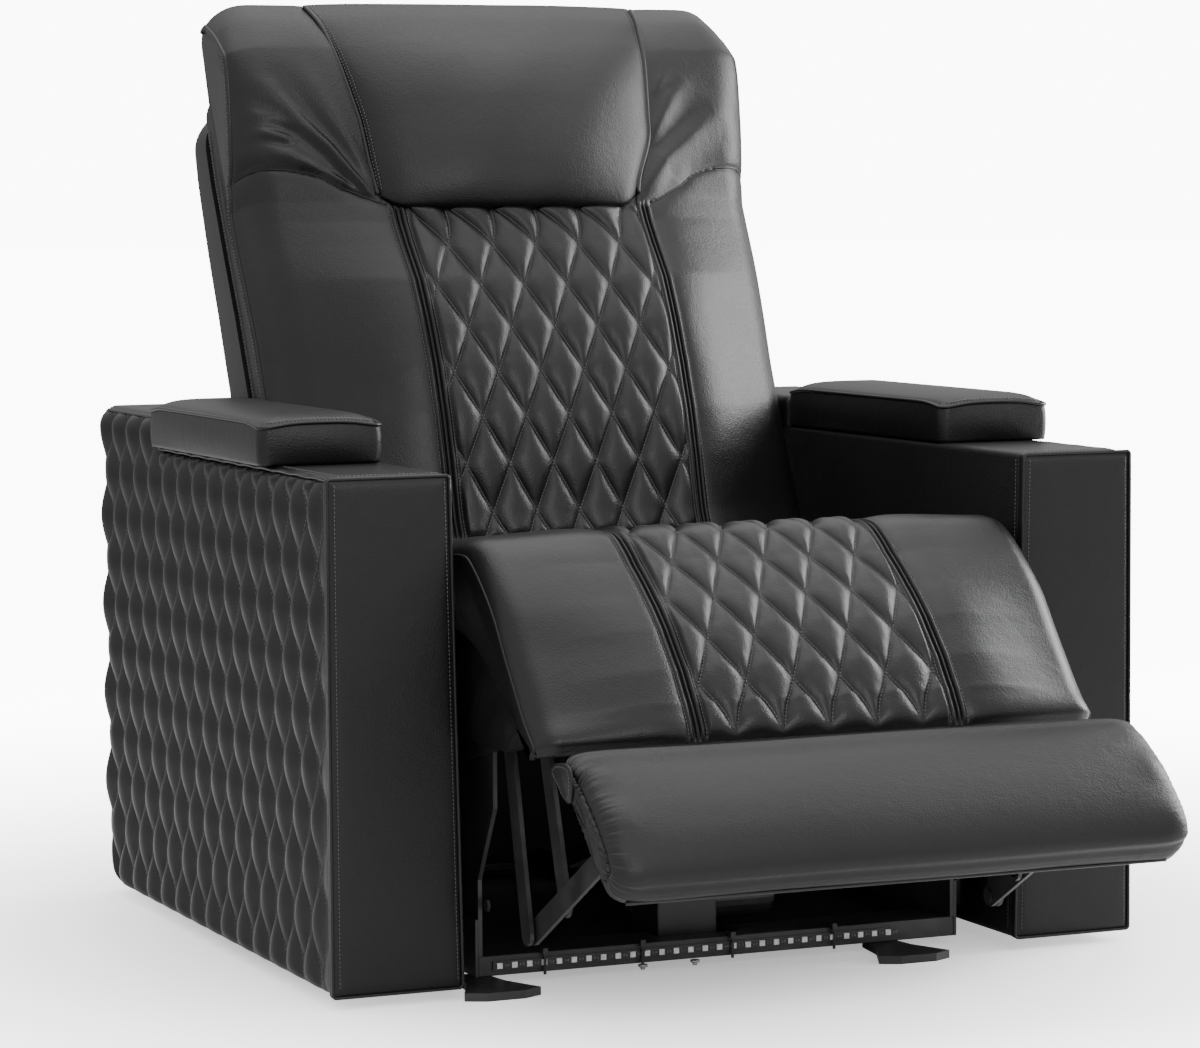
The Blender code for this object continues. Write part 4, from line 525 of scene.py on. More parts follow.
def seam_triangles(rows, columns, along_p):
    """Faces of a grid, each quad split along the nearer family of seams."""
    quads = grid_faces(rows, columns).reshape(rows - 1, columns - 1, 4)
    faces = []
    for i in range(rows - 1):
        for j in range(columns - 1):
            a, b, c, d = quads[i, j]
            if along_p[i, j]:
                faces += [(a, b, d), (b, c, d)]
            else:
                faces += [(a, b, c), (a, c, d)]
    return faces


def nearer_p(p, q):
    """Whether each quad of a grid lies nearer to a seam of the first family."""
    return (np.abs(p - np.round(p)) < np.abs(q - np.round(q)))[:-1, :-1]


def quilt_lines(rows, cell, rise, node, edge):
    """Stitch lines on the quilting's seams between a cushion's bands, as (rows, columns)."""
    lines = []
    for way in (1, -1):
        for k in range(-9, 10):
            columns = (k - way * (rows - node) / rise) * cell
            keep = np.concatenate([[False], np.abs(columns) < edge, [False]])
            changes = np.flatnonzero(keep[1:] != keep[:-1])
            for start, stop in zip(changes[::2], changes[1::2]):
                if stop - start > 4:
                    lines.append((rows[start:stop], columns[start:stop]))
    return lines


def sheet_runs(sheet, lines):
    """Points and outward normals of lines on a sheet that faces the front."""
    runs = []
    for rows, columns in lines:
        point, normal = sheet.at(rows, columns)
        if normal[:, 1].mean() > 0 and abs(normal[:, 0].mean()) < 0.8:
            normal = -normal
        runs.append((point, normal))
    return runs


def pillow_half(x, z):
    """Half width of the head pillow at a height, with its lower left corner drawn in."""
    return table(PILLOW_SIDE, z) - 0.024 * smoothstep(0.885, 0.8, z) * (x > 0)


def table(pairs, value):
    """A value read between the pairs of a table."""
    pairs = np.asarray(pairs, float)
    return np.interp(value, pairs[:, 0], pairs[:, 1])


def middle_share(x):
    """1 between a cushion's bands, falling smoothly to 0 at its side."""
    share = np.clip((np.abs(x) - 0.158) / (SEAT_HALF - 0.158), 0, 1)
    return 1 - share ** 2 * (3 - 2 * share)


def band_profile(t):
    """Height of a stitched band across its width: two ridges, two grooves and a welt."""
    ridges = 0.003 * (hill(t, 0.17, 0.13) + hill(t, 0.83, 0.13))
    grooves = -0.0022 * (hill(t, 0.37, 0.06) + hill(t, 0.63, 0.06))
    return ridges + grooves + 0.0024 * hill(t, 0.5, 0.085)


def cushion_columns(step, band, half, radius, outer_step):
    """Columns across a cushion, finest on its bands, with how far each draws in at the edge."""
    middle = np.arange(1, int(band[0] / step) + 1) * step
    strip = np.arange(middle[-1] + 0.0006, band[1] + 0.003, 0.0006)
    flat = np.arange(strip[-1] + outer_step, half - radius - outer_step / 2, outer_step)
    turn = np.linspace(0, np.pi / 2, 16)
    right = np.concatenate([middle, strip, flat, half - radius * (1 - np.sin(turn))])
    inset = np.concatenate([np.zeros(len(right) - len(turn)), radius * (1 - np.cos(turn))])
    return (np.concatenate([-right[::-1], [0.0], right]),
            np.concatenate([inset[::-1], [0.0], inset]))


def close_loop(name, loop, rows, near_p, body, replaced):
    """A cushion cover from a loop of rings, the first rows of which are its quilted front."""
    count = loop.shape[1]
    faces = seam_triangles(rows, count, near_p)
    faces += list(grid_faces(len(loop) - rows + 1, count) + (rows - 1) * count)
    last = (len(loop) - 1) * count
    faces += [(last + j, last + j + 1, j + 1, j) for j in range(count - 1)]
    faces.append([k * count for k in range(len(loop))])
    faces.append([k * count + count - 1 for k in range(len(loop))][::-1])
    cover = make_piece(name, loop.reshape(-1, 3), faces, quilt_leather, body, replaced)
    return cover


# Seat cushion

SEAT_CELL, SEAT_LONG, SEAT_NODE = 0.052, 0.1074, 0.471
SEAT_BAND = (0.1355, 0.155)
SEAT_QUILT_RISE = 0.007
SEAT_SIDE_RISE = 0.0065
SEAT_ROUND = 0.026
SEAM_CLEAR = 0.003
SEAT_CROWN_SHARES = ((0.0, 0.5), (0.03, 0.87), (0.078, 1.0), (0.132, 0.83), (0.18, 0.43),
                     (0.241, 0.15), (0.282, 0.15), (0.378, 0.22), (0.6, 0.15), (1.0, 0.0))


def seat_point(share):
    """A side-view place on the seat."""
    return (-SEAT_REACH + share[0] * (SEAT_REAR + SEAT_REACH),
            SEAT_LIP + share[1] * (SEAT_HEIGHT - SEAT_LIP))


def make_seat():
    """The seat cushion with its quilting, bands, seams and stitches."""
    top = catmull([seat_point(s) for s in SEAT_TOP_SHARES])
    total = lengths(top)[-1]
    step = SEAT_LONG / 32
    rows = np.concatenate([[0.0], lattice(SEAT_NODE, step, 0.0, total), [total]])
    centre = along(top, rows)
    normal = side_normals(centre)
    if normal[:, 1].mean() < 0:
        normal = -normal
    columns, insets = cushion_columns(SEAT_CELL / 32, SEAT_BAND, SEAT_HALF, SEAT_ROUND, 0.0028)
    x, s = columns[None, :], rows[:, None]
    ax = np.abs(x)
    p, q = seam_places(x, s - SEAT_NODE, SEAT_CELL, SEAT_LONG)
    inside = 1 - smoothstep(SEAT_BAND[0] - 0.004, SEAT_BAND[0], ax)
    lip = smoothstep(total - 0.016, total - 0.003, s)
    height = SEAT_QUILT_RISE * (quilt_height(p, q) * (1 - lip) + 0.5 * lip) * inside
    t = (ax - SEAT_BAND[0]) / (SEAT_BAND[1] - SEAT_BAND[0])
    height = height + band_profile(t)
    side = ax - SEAT_BAND[1]
    puff = SEAT_SIDE_RISE * pillow_profile(side / 0.05)
    wave = (0.0005 * np.sin(34 * s + 9 * x) + 0.0002 * np.sin(71 * s - 31 * x)) * (side > 0)
    wave = wave * smoothstep(0.0, 0.03, side)
    crown = SEAT_CROWN * table(SEAT_CROWN_SHARES, (centre[:, :1] + SEAT_REACH)
                               / (SEAT_REAR + SEAT_REACH)) * middle_share(x)
    ends = smoothstep(0.0, 0.012, s) * (1 - smoothstep(total - 0.01, total, s))
    height = (height + puff + wave) * ends + crown - insets[None, :]
    points = np.stack([x + 0 * s, centre[:, :1] + normal[:, :1] * height,
                       centre[:, 1:] + normal[:, 1:] * height], -1)
    sheet = Sheet(rows, columns, points)
    under = catmull([seat_point(k) for k in SEAT_UNDER_SHARES], 10)
    draw = np.minimum(insets, 0.02)[None, :] * 0.2
    under_points = np.stack([np.broadcast_to(x, (len(under), len(columns))),
                             under[:, :1] + 0 * x, under[:, 1:] + draw], -1)
    close_loop("seat_cushion_cover", np.concatenate([points, under_points], 0), len(rows),
               nearer_p(p, q), "seat", ("seat_cushion",))
    lines = quilt_lines(np.linspace(0.0, total - 0.01, 260), SEAT_CELL, SEAT_LONG, SEAT_NODE,
                        SEAT_BAND[0] - SEAM_CLEAR)
    make_stitches("seat_quilt_stitches", sheet_runs(sheet, lines), "seat")
    band_rows = np.linspace(0.002, total - 0.004, 300)
    lines = [(band_rows, np.full(300, sign * edge)) for sign in (-1, 1) for edge in SEAT_BAND]
    make_stitches("seat_band_stitches", sheet_runs(sheet, lines), "seat")
    for name, sign in SIDES:
        edge, _ = sheet.at(np.linspace(0.0, total, 200), np.full(200, sign * (SEAT_HALF - 0.0012)))
        make_tube(f"{name}_seat_piping", edge, 0.0017, leather_painted_shade, "seat")


# Back cushion

BACK_CELL, BACK_LONG, BACK_NODE = 0.053, 0.108, 0.033
BACK_BAND = (0.143, 0.162)
TOP_NODE, TOP_SKEW = 0.357, 0.016
QUILT_END = 0.402
BACK_QUILT_RISE = 0.0072
BACK_ROUND = 0.04
BACK_RECESS = 0.075
HEAD_FLARE = 0.017
HEAD_DROP, HEAD_CORNER = 0.017, 0.06
PANEL_RISE, WING_RISE = 0.0055, 0.0095
PILLOW_EDGE, PILLOW_RISE = 0.0016, 0.0345
BACK_BULGE_SHARES = ((0.0, -0.35), (0.04, -0.23), (0.135, 0.47), (0.216, 0.88), (0.302, 1.0),
                     (0.381, 0.88), (0.464, 0.59), (0.535, 0.24), (0.63, 0.0), (1.0, 0.0))
# Heights of the wing's seam against the distance from the middle, and half widths of the pillow
# against height
WING_SEAM = ((0.145, 0.797), (0.1774, 0.8075), (0.2093, 0.8214), (0.2293, 0.8342),
             (0.2452, 0.8392), (0.2672, 0.843), (0.2971, 0.844), (0.319, 0.84))
PILLOW_SIDE = ((0.797, 0.17), (0.81, 0.172), (0.84, 0.175), (0.89, 0.178), (0.94, 0.186),
               (1.0, 0.196), (1.036, 0.205))
# Folds of the wings as (distance from the middle, height, rise, width)
RIGHT_WING_FOLDS = (
    ((0.19, 0.816, 0.0, 0.003), (0.2093, 0.827, 0.004, 0.003), (0.2293, 0.8365, 0.0045, 0.0035),
     (0.2452, 0.8465, 0.0042, 0.004), (0.2652, 0.8553, 0.003, 0.005), (0.29, 0.8638, 0.0, 0.006)),
    ((0.175, 0.808, 0.0, 0.003), (0.1894, 0.8253, 0.0035, 0.003), (0.1994, 0.8367, 0.005, 0.0035),
     (0.2193, 0.8656, 0.006, 0.005), (0.2492, 0.8967, 0.0052, 0.0065),
     (0.2791, 0.9321, 0.003, 0.009), (0.305, 0.9493, 0.0, 0.01)),
    ((0.25, 0.8745, 0.0, 0.003), (0.268, 0.878, 0.003, 0.004), (0.2851, 0.8817, 0.0028, 0.004),
     (0.308, 0.888, 0.0, 0.005)),
    ((0.245, 0.886, 0.0, 0.004), (0.2771, 0.9004, 0.0026, 0.005), (0.309, 0.907, 0.0, 0.006)),
    ((0.1774, 0.8303, 0.0, 0.004), (0.1974, 0.8718, 0.0034, 0.006), (0.2153, 0.9066, 0.0034, 0.009),
     (0.2313, 0.9405, 0.0022, 0.012), (0.242, 0.97, 0.0, 0.013)))
LEFT_WING_FOLDS = (
    ((0.155, 0.815, 0.0, 0.006), (0.19, 0.848, 0.0044, 0.008), (0.235, 0.876, 0.005, 0.011),
     (0.275, 0.9, 0.0034, 0.014), (0.31, 0.91, 0.0, 0.015)),
    ((0.168, 0.8643, 0.0, 0.004), (0.19, 0.892, 0.0028, 0.006), (0.2153, 0.922, 0.0024, 0.009),
     (0.24, 0.948, 0.0, 0.011)),
    ((0.19, 0.926, 0.0, 0.003), (0.2034, 0.9429, 0.0016, 0.005), (0.22, 0.962, 0.0, 0.007)))


def back_point(share):
    """A side-view place on the back."""
    return (BACK_FOOT + share[0] * BACK_LEAN, BACK_BOTTOM + share[1] * (BACK_TOP - BACK_BOTTOM))


def back_fade(share):
    """How much flatter the back's front is towards its head."""
    return np.where(share < 0.62, 1.0, np.maximum(0.25, 1.0 - (share - 0.62) * 2.6))


def corner_drop(x, share):
    """How far the head's top corners round down."""
    side = np.clip((np.abs(x) - (BACK_HALF - HEAD_CORNER)) / HEAD_CORNER, 0, 1)
    return HEAD_DROP * side ** 3 * np.clip((share - 0.87) / 0.13, 0, 1)


def side_share(x, share):
    """How far the back curves to the rear at a distance from its middle."""
    across = np.abs(x) / BACK_HALF
    flat = (np.maximum(0.0, across - 0.4) / 0.6) ** 1.5
    return flat + (across ** 2 - flat) * np.clip((share - 0.47) / 0.11, 0, 1)


def back_surface(x, inset, relief, place, normal, front=True):
    """Points on the back cushion from flat arrays of columns and side-view places."""
    share = (place[..., 1] - BACK_BOTTOM) / (BACK_TOP - BACK_BOTTOM)
    fade = back_fade(share)
    recess = BACK_RECESS * fade * side_share(x, share)
    lift = relief
    if front:
        lift = lift - inset * fade + BACK_BULGE * table(BACK_BULGE_SHARES, share) * middle_share(x)
    else:
        recess = 0.35 * recess * np.clip((share - 0.9) / 0.05, 0, 1)
    flare = 1 + HEAD_FLARE * smoothstep(0.6, 0.8, place[..., 1])
    return np.stack([x * flare + 0 * lift, place[..., 0] + normal[..., 0] * lift + recess,
                     place[..., 1] + normal[..., 1] * lift - corner_drop(x, share)], -1)


def fold_relief(across, z, folds):
    """Folds along lines: a crest with a deep valley below it and a shallow one above."""
    total = np.zeros(np.broadcast(across, z).shape)
    for fold in folds:
        best = np.full(total.shape, 1e9)
        rise, width, below = (np.zeros(total.shape) for _ in range(3))
        for a, b in zip(np.array(fold), np.array(fold)[1:]):
            span = (b - a)[:2]
            t = np.clip(((across - a[0]) * span[0] + (z - a[1]) * span[1]) / (span @ span), 0, 1)
            dx, dz = across - (a[0] + t * span[0]), z - (a[1] + t * span[1])
            distance = np.hypot(dx, dz)
            closer = distance < best
            best = np.where(closer, distance, best)
            rise = np.where(closer, a[2] + (b[2] - a[2]) * t, rise)
            width = np.where(closer, a[3] + (b[3] - a[3]) * t, width)
            below = np.where(closer, span[0] * dz - span[1] * dx < 0, below)
        width = np.maximum(width * 1.15, 1e-4)
        crest = np.exp(-(best / width) ** 2)
        valley = np.exp(-((best / width - 2.2) / 1.1) ** 2)
        total += 0.85 * rise * (crest - valley * (0.75 * below + 0.25 * (1 - below)))
    return total


def panel_relief(x, z):
    """The plain panels beside the bands and the gathered wings beside the pillow."""
    ax = np.abs(x)
    seam = table(WING_SEAM, ax)
    above, beside = z - seam, ax - BACK_BAND[1]
    lower = PANEL_RISE * pillow_profile(beside / 0.045) * pillow_profile(-above / 0.022)
    pillow_side = ax - pillow_half(x, z) + 0.004
    upper = (WING_RISE * pillow_profile(pillow_side / 0.034) * pillow_profile(above / 0.024)
             * (1 - 0.75 * smoothstep(0.97, 1.036, z)))
    folds = np.where(x < 0, fold_relief(ax, z, RIGHT_WING_FOLDS),
                     fold_relief(ax, z, LEFT_WING_FOLDS))
    folds = folds * smoothstep(0.0, 0.006, above) * smoothstep(0.0, 0.008, pillow_side)
    wave = (0.0005 * np.sin(31 * z + 17 * ax) + 0.0002 * np.sin(83 * z - 29 * ax))
    return lower + upper + folds + wave * smoothstep(0.0, 0.03, beside)


def make_back():
    """The back cushion: quilted middle, bands, wings, boxing and seams."""
    front = catmull([back_point(s) for s in BACK_FRONT_SHARES])
    total = lengths(front)[-1]
    step = BACK_LONG / 32
    quilted = lattice(BACK_NODE, step, 0.0, QUILT_END + 0.01)
    head = np.arange(quilted[-1] + 0.0023, total - 0.001, 0.0023)
    rows = np.concatenate([[0.0], quilted, head, [total]])
    centre = along(front, rows)
    normal = side_normals(centre)
    if normal[:, 0].mean() > 0:
        normal = -normal
    columns, insets = cushion_columns(BACK_CELL / 32, BACK_BAND, BACK_HALF, BACK_ROUND, 0.0023)
    u, s = columns[None, :], rows[:, None]
    z = centre[:, 1:]
    skew = TOP_SKEW * np.clip((s - TOP_NODE) / 0.046, 0, 1.2) ** 2
    x = u - skew * (1 - smoothstep(0.115, BACK_BAND[0], np.abs(u)))
    p, q = seam_places(u, s - BACK_NODE, BACK_CELL, BACK_LONG)
    below = 1 - smoothstep(PILLOW_BOTTOM - 0.002, PILLOW_BOTTOM + 0.008, z)
    inside = 1 - smoothstep(BACK_BAND[0] - 0.004, BACK_BAND[0], np.abs(u))
    height = BACK_QUILT_RISE * quilt_height(p, q) * inside
    t = (np.abs(u) - BACK_BAND[0]) / (BACK_BAND[1] - BACK_BAND[0])
    height = (height + band_profile(t)) * below * smoothstep(0.0, 0.012, s) + panel_relief(x, z)
    place = np.broadcast_to(centre[:, None, :], (len(rows), len(columns), 2))
    side = np.broadcast_to(normal[:, None, :], place.shape)
    points = back_surface(x, insets[None, :], height, place, side)
    sheet = Sheet(rows, columns, points)
    rear = catmull([back_point(k) for k in BACK_REAR_SHARES], 8)
    rear_place = np.broadcast_to(rear[:, None, :], (len(rear), len(columns), 2))
    rear_x = np.broadcast_to(u, rear_place.shape[:2])
    rear_points = back_surface(rear_x, 0.0, np.zeros_like(rear_x), rear_place,
                               np.zeros_like(rear_place), False)
    close_loop("back_cushion_cover", np.concatenate([points, rear_points], 0), len(rows),
               nearer_p(p, q), "back", ("back_cushion",))
    quilt_rows = np.linspace(0.0, QUILT_END, 300)
    lines = quilt_lines(quilt_rows, BACK_CELL, BACK_LONG, BACK_NODE, BACK_BAND[0] - SEAM_CLEAR)
    make_stitches("back_quilt_stitches", sheet_runs(sheet, lines), "back")
    lines = [(quilt_rows, np.full(300, sign * edge)) for sign in (-1, 1) for edge in BACK_BAND]
    make_stitches("back_band_stitches", sheet_runs(sheet, lines), "back")
    make_back_edges(sheet, rear_points, total)
    across = np.linspace(BACK_BAND[1] + 0.001, BACK_HALF - 0.001, 90)
    seam_rows = np.interp(table(WING_SEAM, across), centre[:, 1], rows)
    forms = [tube_grid(sheet.at(seam_rows, sign * across)[0], 0.0013, 6) for sign in (-1, 1)]
    make_piece("back_wing_seams", *join_forms(forms), leather_painted_shade, "back")
    return columns, centre, normal, rear_points


def make_back_edges(sheet, rear_points, total):
    """Piping round the back cushion's front edge and stitches on its side strip."""
    forms, runs = [], []
    for sign in (-1, 1):
        edge_rows = np.linspace(0.0, total, 260)
        point, _ = sheet.at(edge_rows, np.full(260, sign * BACK_HALF))
        tail = rear_points[2:4, 0 if sign < 0 else -1]
        point[:, 0] -= sign * 0.0005
        forms.append(tube_grid(np.vstack([point, tail]), 0.0026))
        for back in (0.0075, 0.0105):
            runs.append((point + np.array([sign * 0.0006, back, 0.0]), facing(sign, 0, 0, 260)))
    make_piece("back_front_piping", *join_forms(forms), piping_painted_highlight, "back")
    make_stitches("back_side_stitches", runs, "back")


def make_pillow(columns, centre, normal, rear_points):
    """The head pillow between its two piped seams."""
    head = centre[:, 1] > PILLOW_BOTTOM
    place, side = centre[head], normal[head]
    shares = np.sin(np.linspace(-np.pi / 2, np.pi / 2, 111))
    rise = (lengths(place) / lengths(place)[-1])[:, None]
    x = shares[None, :] * pillow_half(shares[None, :], place[:, 1:])
    across = np.clip(1 - np.abs(shares[None, :]) ** 3.0, 0, 1) ** 0.55
    up = pillow_profile(rise / 0.2) * (1 - 0.9 * smoothstep(0.42, 0.99, rise))
    soft = 0.0012 * np.sin(x * 23 + rise * 5) + 0.0009 * np.sin(x * 51 - rise * 9)
    swell = PILLOW_EDGE + (PILLOW_RISE + soft) * across * up
    travelled = lengths(place)
    start = 0.016 * np.clip((np.abs(shares) - 0.8) / 0.2, 0, 1) ** 2.2
    spots = start[None, :] + (travelled[-1] - start[None, :]) * rise
    places = np.stack([np.interp(spots, travelled, place[:, k]) for k in (0, 1)], -1)
    sides = np.stack([np.interp(spots, travelled, side[:, k]) for k in (0, 1)], -1)
    outer = back_surface(x, 0.0, swell, places, sides)
    outer[..., 2] -= 0.01 * hill(rise, 0.09, 0.11) * across
    inner = back_surface(x, 0.0, np.full(x.shape, 0.0004), places, sides)
    loop = np.concatenate([outer, inner[::-1]], 0)
    faces = list(grid_faces(len(loop), len(shares)))
    last = (len(loop) - 1) * len(shares)
    faces += [(last + j, last + j + 1, j + 1, j) for j in range(len(shares) - 1)]
    for column in (0, len(shares) - 1):
        faces.append([k * len(shares) + column for k in range(len(loop))])
    pillow = make_piece("head_pillow_cover", loop.reshape(-1, 3), faces, leather, "back",
                        ("head_pillow",))
    forms, runs = [], []
    for column, sign in ((0, -1.0), (len(shares) - 1, 1.0)):
        tail = rear_points[2:8, int(np.argmin(np.abs(columns - sign * 0.205)))]
        line = np.vstack([outer[:-2, column] + np.array([sign * 0.0012, -0.0022, 0.0]), tail])
        forms.append(tube_grid(line, 0.0028))
        for inside in (5, 8):
            stitched = outer[4:-3, column - int(sign) * inside]
            runs.append((stitched + np.array([0, -0.0004, 0]),
                         facing(sign * 0.5, -0.8, 0.3, len(stitched))))
    make_piece("head_pillow_piping", *join_forms(forms), piping_painted_highlight, "back")
    make_stitches("head_pillow_stitches", runs, "back")


# Back shell

STRIP_TOP, PANEL_BOTTOM, PANEL_TOP = 0.945, 0.395, 0.915
STRIP_REAR, PANEL_REAR = 0.058, 0.143
ARM_CLEAR_HALF = 0.2724


def rear_line(depth, z):
    """The back cushion's rear side at heights, moved out by a depth."""
    knots = np.array(sorted((back_point(k) for k in BACK_REAR_SHARES[2:-1]), key=lambda k: k[1]))
    y = np.interp(z, knots[:, 1], knots[:, 0])
    slope = (knots[-1, 0] - knots[-2, 0]) / (knots[-1, 1] - knots[-2, 1])
    y = np.where(z > knots[-1, 1], knots[-1, 0] + (z - knots[-1, 1]) * slope, y)
    return np.stack([y + depth, z], -1)


def boxy_rings(low, high, half, front_depth, rear_depth, taper, radius, top_radius, steps):
    """Rings of a padded shell behind the back, from its lower to its round upper edge."""
    turn = np.linspace(0, np.pi / 2, 14)
    z = np.concatenate([np.linspace(low, high - top_radius, steps)[:-1],
                        high - top_radius * (1 - np.sin(turn))])
    scale = np.concatenate([np.ones(steps - 1), np.cos(turn)])
    inner, outer = rear_line(front_depth, z), rear_line(rear_depth, z)
    outer[:, 0] -= taper * np.linspace(0, 1, len(z)) ** 3
    bend = np.linspace(0, np.pi / 2, 8)
    rings = []
    for k, height in enumerate(z):
        y0 = inner[k, 0]
        y1 = y0 + (outer[k, 0] - y0) * max(0.06, scale[k])
        wide = half - (1 - scale[k]) * top_radius * 0.8
        round_off = min(radius, (y1 - y0) * 0.45)
        xs = np.concatenate([[wide], wide - round_off + round_off * np.cos(bend)])
        ys = np.concatenate([[y0], y1 - round_off + round_off * np.sin(bend)])
        flat = np.linspace(wide - round_off, -(wide - round_off), 26)[1:-1]
        right = np.stack([xs, ys], -1)
        middle = np.stack([flat, y1 + 0.005 * scale[k] * (1 - (flat / wide) ** 2)], -1)
        ring = np.concatenate([right, middle, right[::-1] * np.array([-1, 1])])
        rings.append(np.column_stack([ring, np.full(len(ring), height)]))
    return np.array(rings)


def make_shell():
    """The boxed strip and the padded panel behind the back cushion."""
    strip = boxy_rings(BACK_BOTTOM, STRIP_TOP, BACK_HALF - 0.004, 0.0004, STRIP_REAR,
                       taper=0.0, radius=0.01, top_radius=0.045, steps=60)
    low = strip[:, :, 2] < ARM_HEIGHT + 0.016
    strip[..., 0] = np.where(low, np.clip(strip[..., 0], -ARM_CLEAR_HALF, ARM_CLEAR_HALF),
                             strip[..., 0])
    close_rings("back_frame_cover", strip, leather, ("back_frame",))
    panel = boxy_rings(PANEL_BOTTOM, PANEL_TOP, BACK_HALF - 0.0015, STRIP_REAR + 0.0003,
                       PANEL_REAR, taper=0.0425, radius=0.02, top_radius=0.05, steps=60)
    close_rings("back_rear_cover", panel, shell_leather, ("back_rear_panel",))
    runs = []
    z = np.linspace(ARM_HEIGHT + 0.02, 0.89, 160)
    for sign in (-1, 1):
        for depth in (0.042, 0.046):
            row = line_at(sign * (BACK_HALF - 0.0038), rear_line(depth, z)[:, 0], z)
            runs.append((row, facing(sign, 0, 0, 160)))
    make_stitches("back_strip_stitches", runs, "back")


def close_rings(name, rings, material, replaced):
    """A closed shell from open rings whose ends face the back cushion."""
    count, around = rings.shape[:2]
    faces = [*grid_faces(count, around, wrap=True), range(around),
             range((count - 1) * around, count * around)[::-1]]
    piece = make_piece(name, rings.reshape(-1, 3), faces, material, "back", replaced, crease=50)
    return piece


# Arms

SIDE_CELL, SIDE_LONG = 0.0545, 0.1038
SIDE_NODE = (0.1043, 0.4447)
SIDE_QUILT_RISE, SIDE_FILL = 0.01, 0.003
SIDE_BEND = 0.47
SIDE_FRONT, SIDE_REAR = 0.0145, ARM_LENGTH - 0.001
SIDE_TOP = ARM_HEIGHT - 0.0055
INNER_SPREAD = 0.01
WELL_HALF, WELL_LENGTH = (0.3455, 0.43), (0.206, 0.566)
WELL_FLOOR = 0.366
FRONT_SEAM = 0.009


def rounded_box(name, low, high, radius, segments=4):
    """A box with round edges as a mesh."""
    form = bmesh.new()
    bmesh.ops.create_cube(form, size=1.0)
    size = [b - a for a, b in zip(low, high)]
    middle = [(a + b) / 2 for a, b in zip(low, high)]
    bmesh.ops.scale(form, vec=size, verts=form.verts)
    bmesh.ops.translate(form, vec=middle, verts=form.verts)
    bmesh.ops.bevel(form, geom=form.edges[:], offset=radius, segments=segments, profile=0.5,
                    affect="EDGES", clamp_overlap=True)
    mesh = bpy.data.meshes.new(name)
    form.to_mesh(mesh)
    form.free()
    return mesh


def side_mesh(name, sign, low, high, radius, segments=4):
    """A round-edged box on one side of the chair, given on the left side."""
    x0, x1 = sorted((sign * low[0], sign * high[0]))
    return rounded_box(name, (x0, low[1], low[2]), (x1, high[1], high[2]), radius, segments)


def arm_inner(z):
    """The arm's inner face."""
    return OPENING_HALF - INNER_SPREAD * (ARM_HEIGHT - z) / ARM_HEIGHT


def spread_foot(points, sign):
    """Spread the arm's inner face towards the floor, as the CAD arm does."""
    points = np.array(points, float)
    middle = OPENING_HALF + 0.05
    side = np.abs(points[:, 0])
    shift = (OPENING_HALF - arm_inner(points[:, 2])) * (middle - side) / (middle - OPENING_HALF)
    points[:, 0] = sign * (side - np.where(side < middle, shift, 0.0))
    return points


def spread_mesh(mesh, sign):
    """Spread a mesh's inner face towards the floor."""
    moved = spread_foot([v.co for v in mesh.vertices], sign)
    mesh.vertices.foreach_set("co", moved.ravel())


def cut_box(piece, name, low, high):
    """Cut a box out of a piece and keep the result."""
    cutter = bpy.data.objects.new(name, new_mesh(name, *box_form(low, high)))
    cutter.location.y = FRONT
    bpy.context.scene.collection.objects.link(cutter)
    boolean = piece.modifiers.new("well", "BOOLEAN")
    boolean.operation, boolean.solver, boolean.object = "DIFFERENCE", "EXACT", cutter
    bpy.context.view_layer.update()
    graph = bpy.context.evaluated_depsgraph_get()
    result = bpy.data.meshes.new_from_object(piece.evaluated_get(graph))
    piece.modifiers.clear()
    piece.data = result
    bpy.data.objects.remove(cutter, do_unlink=True)


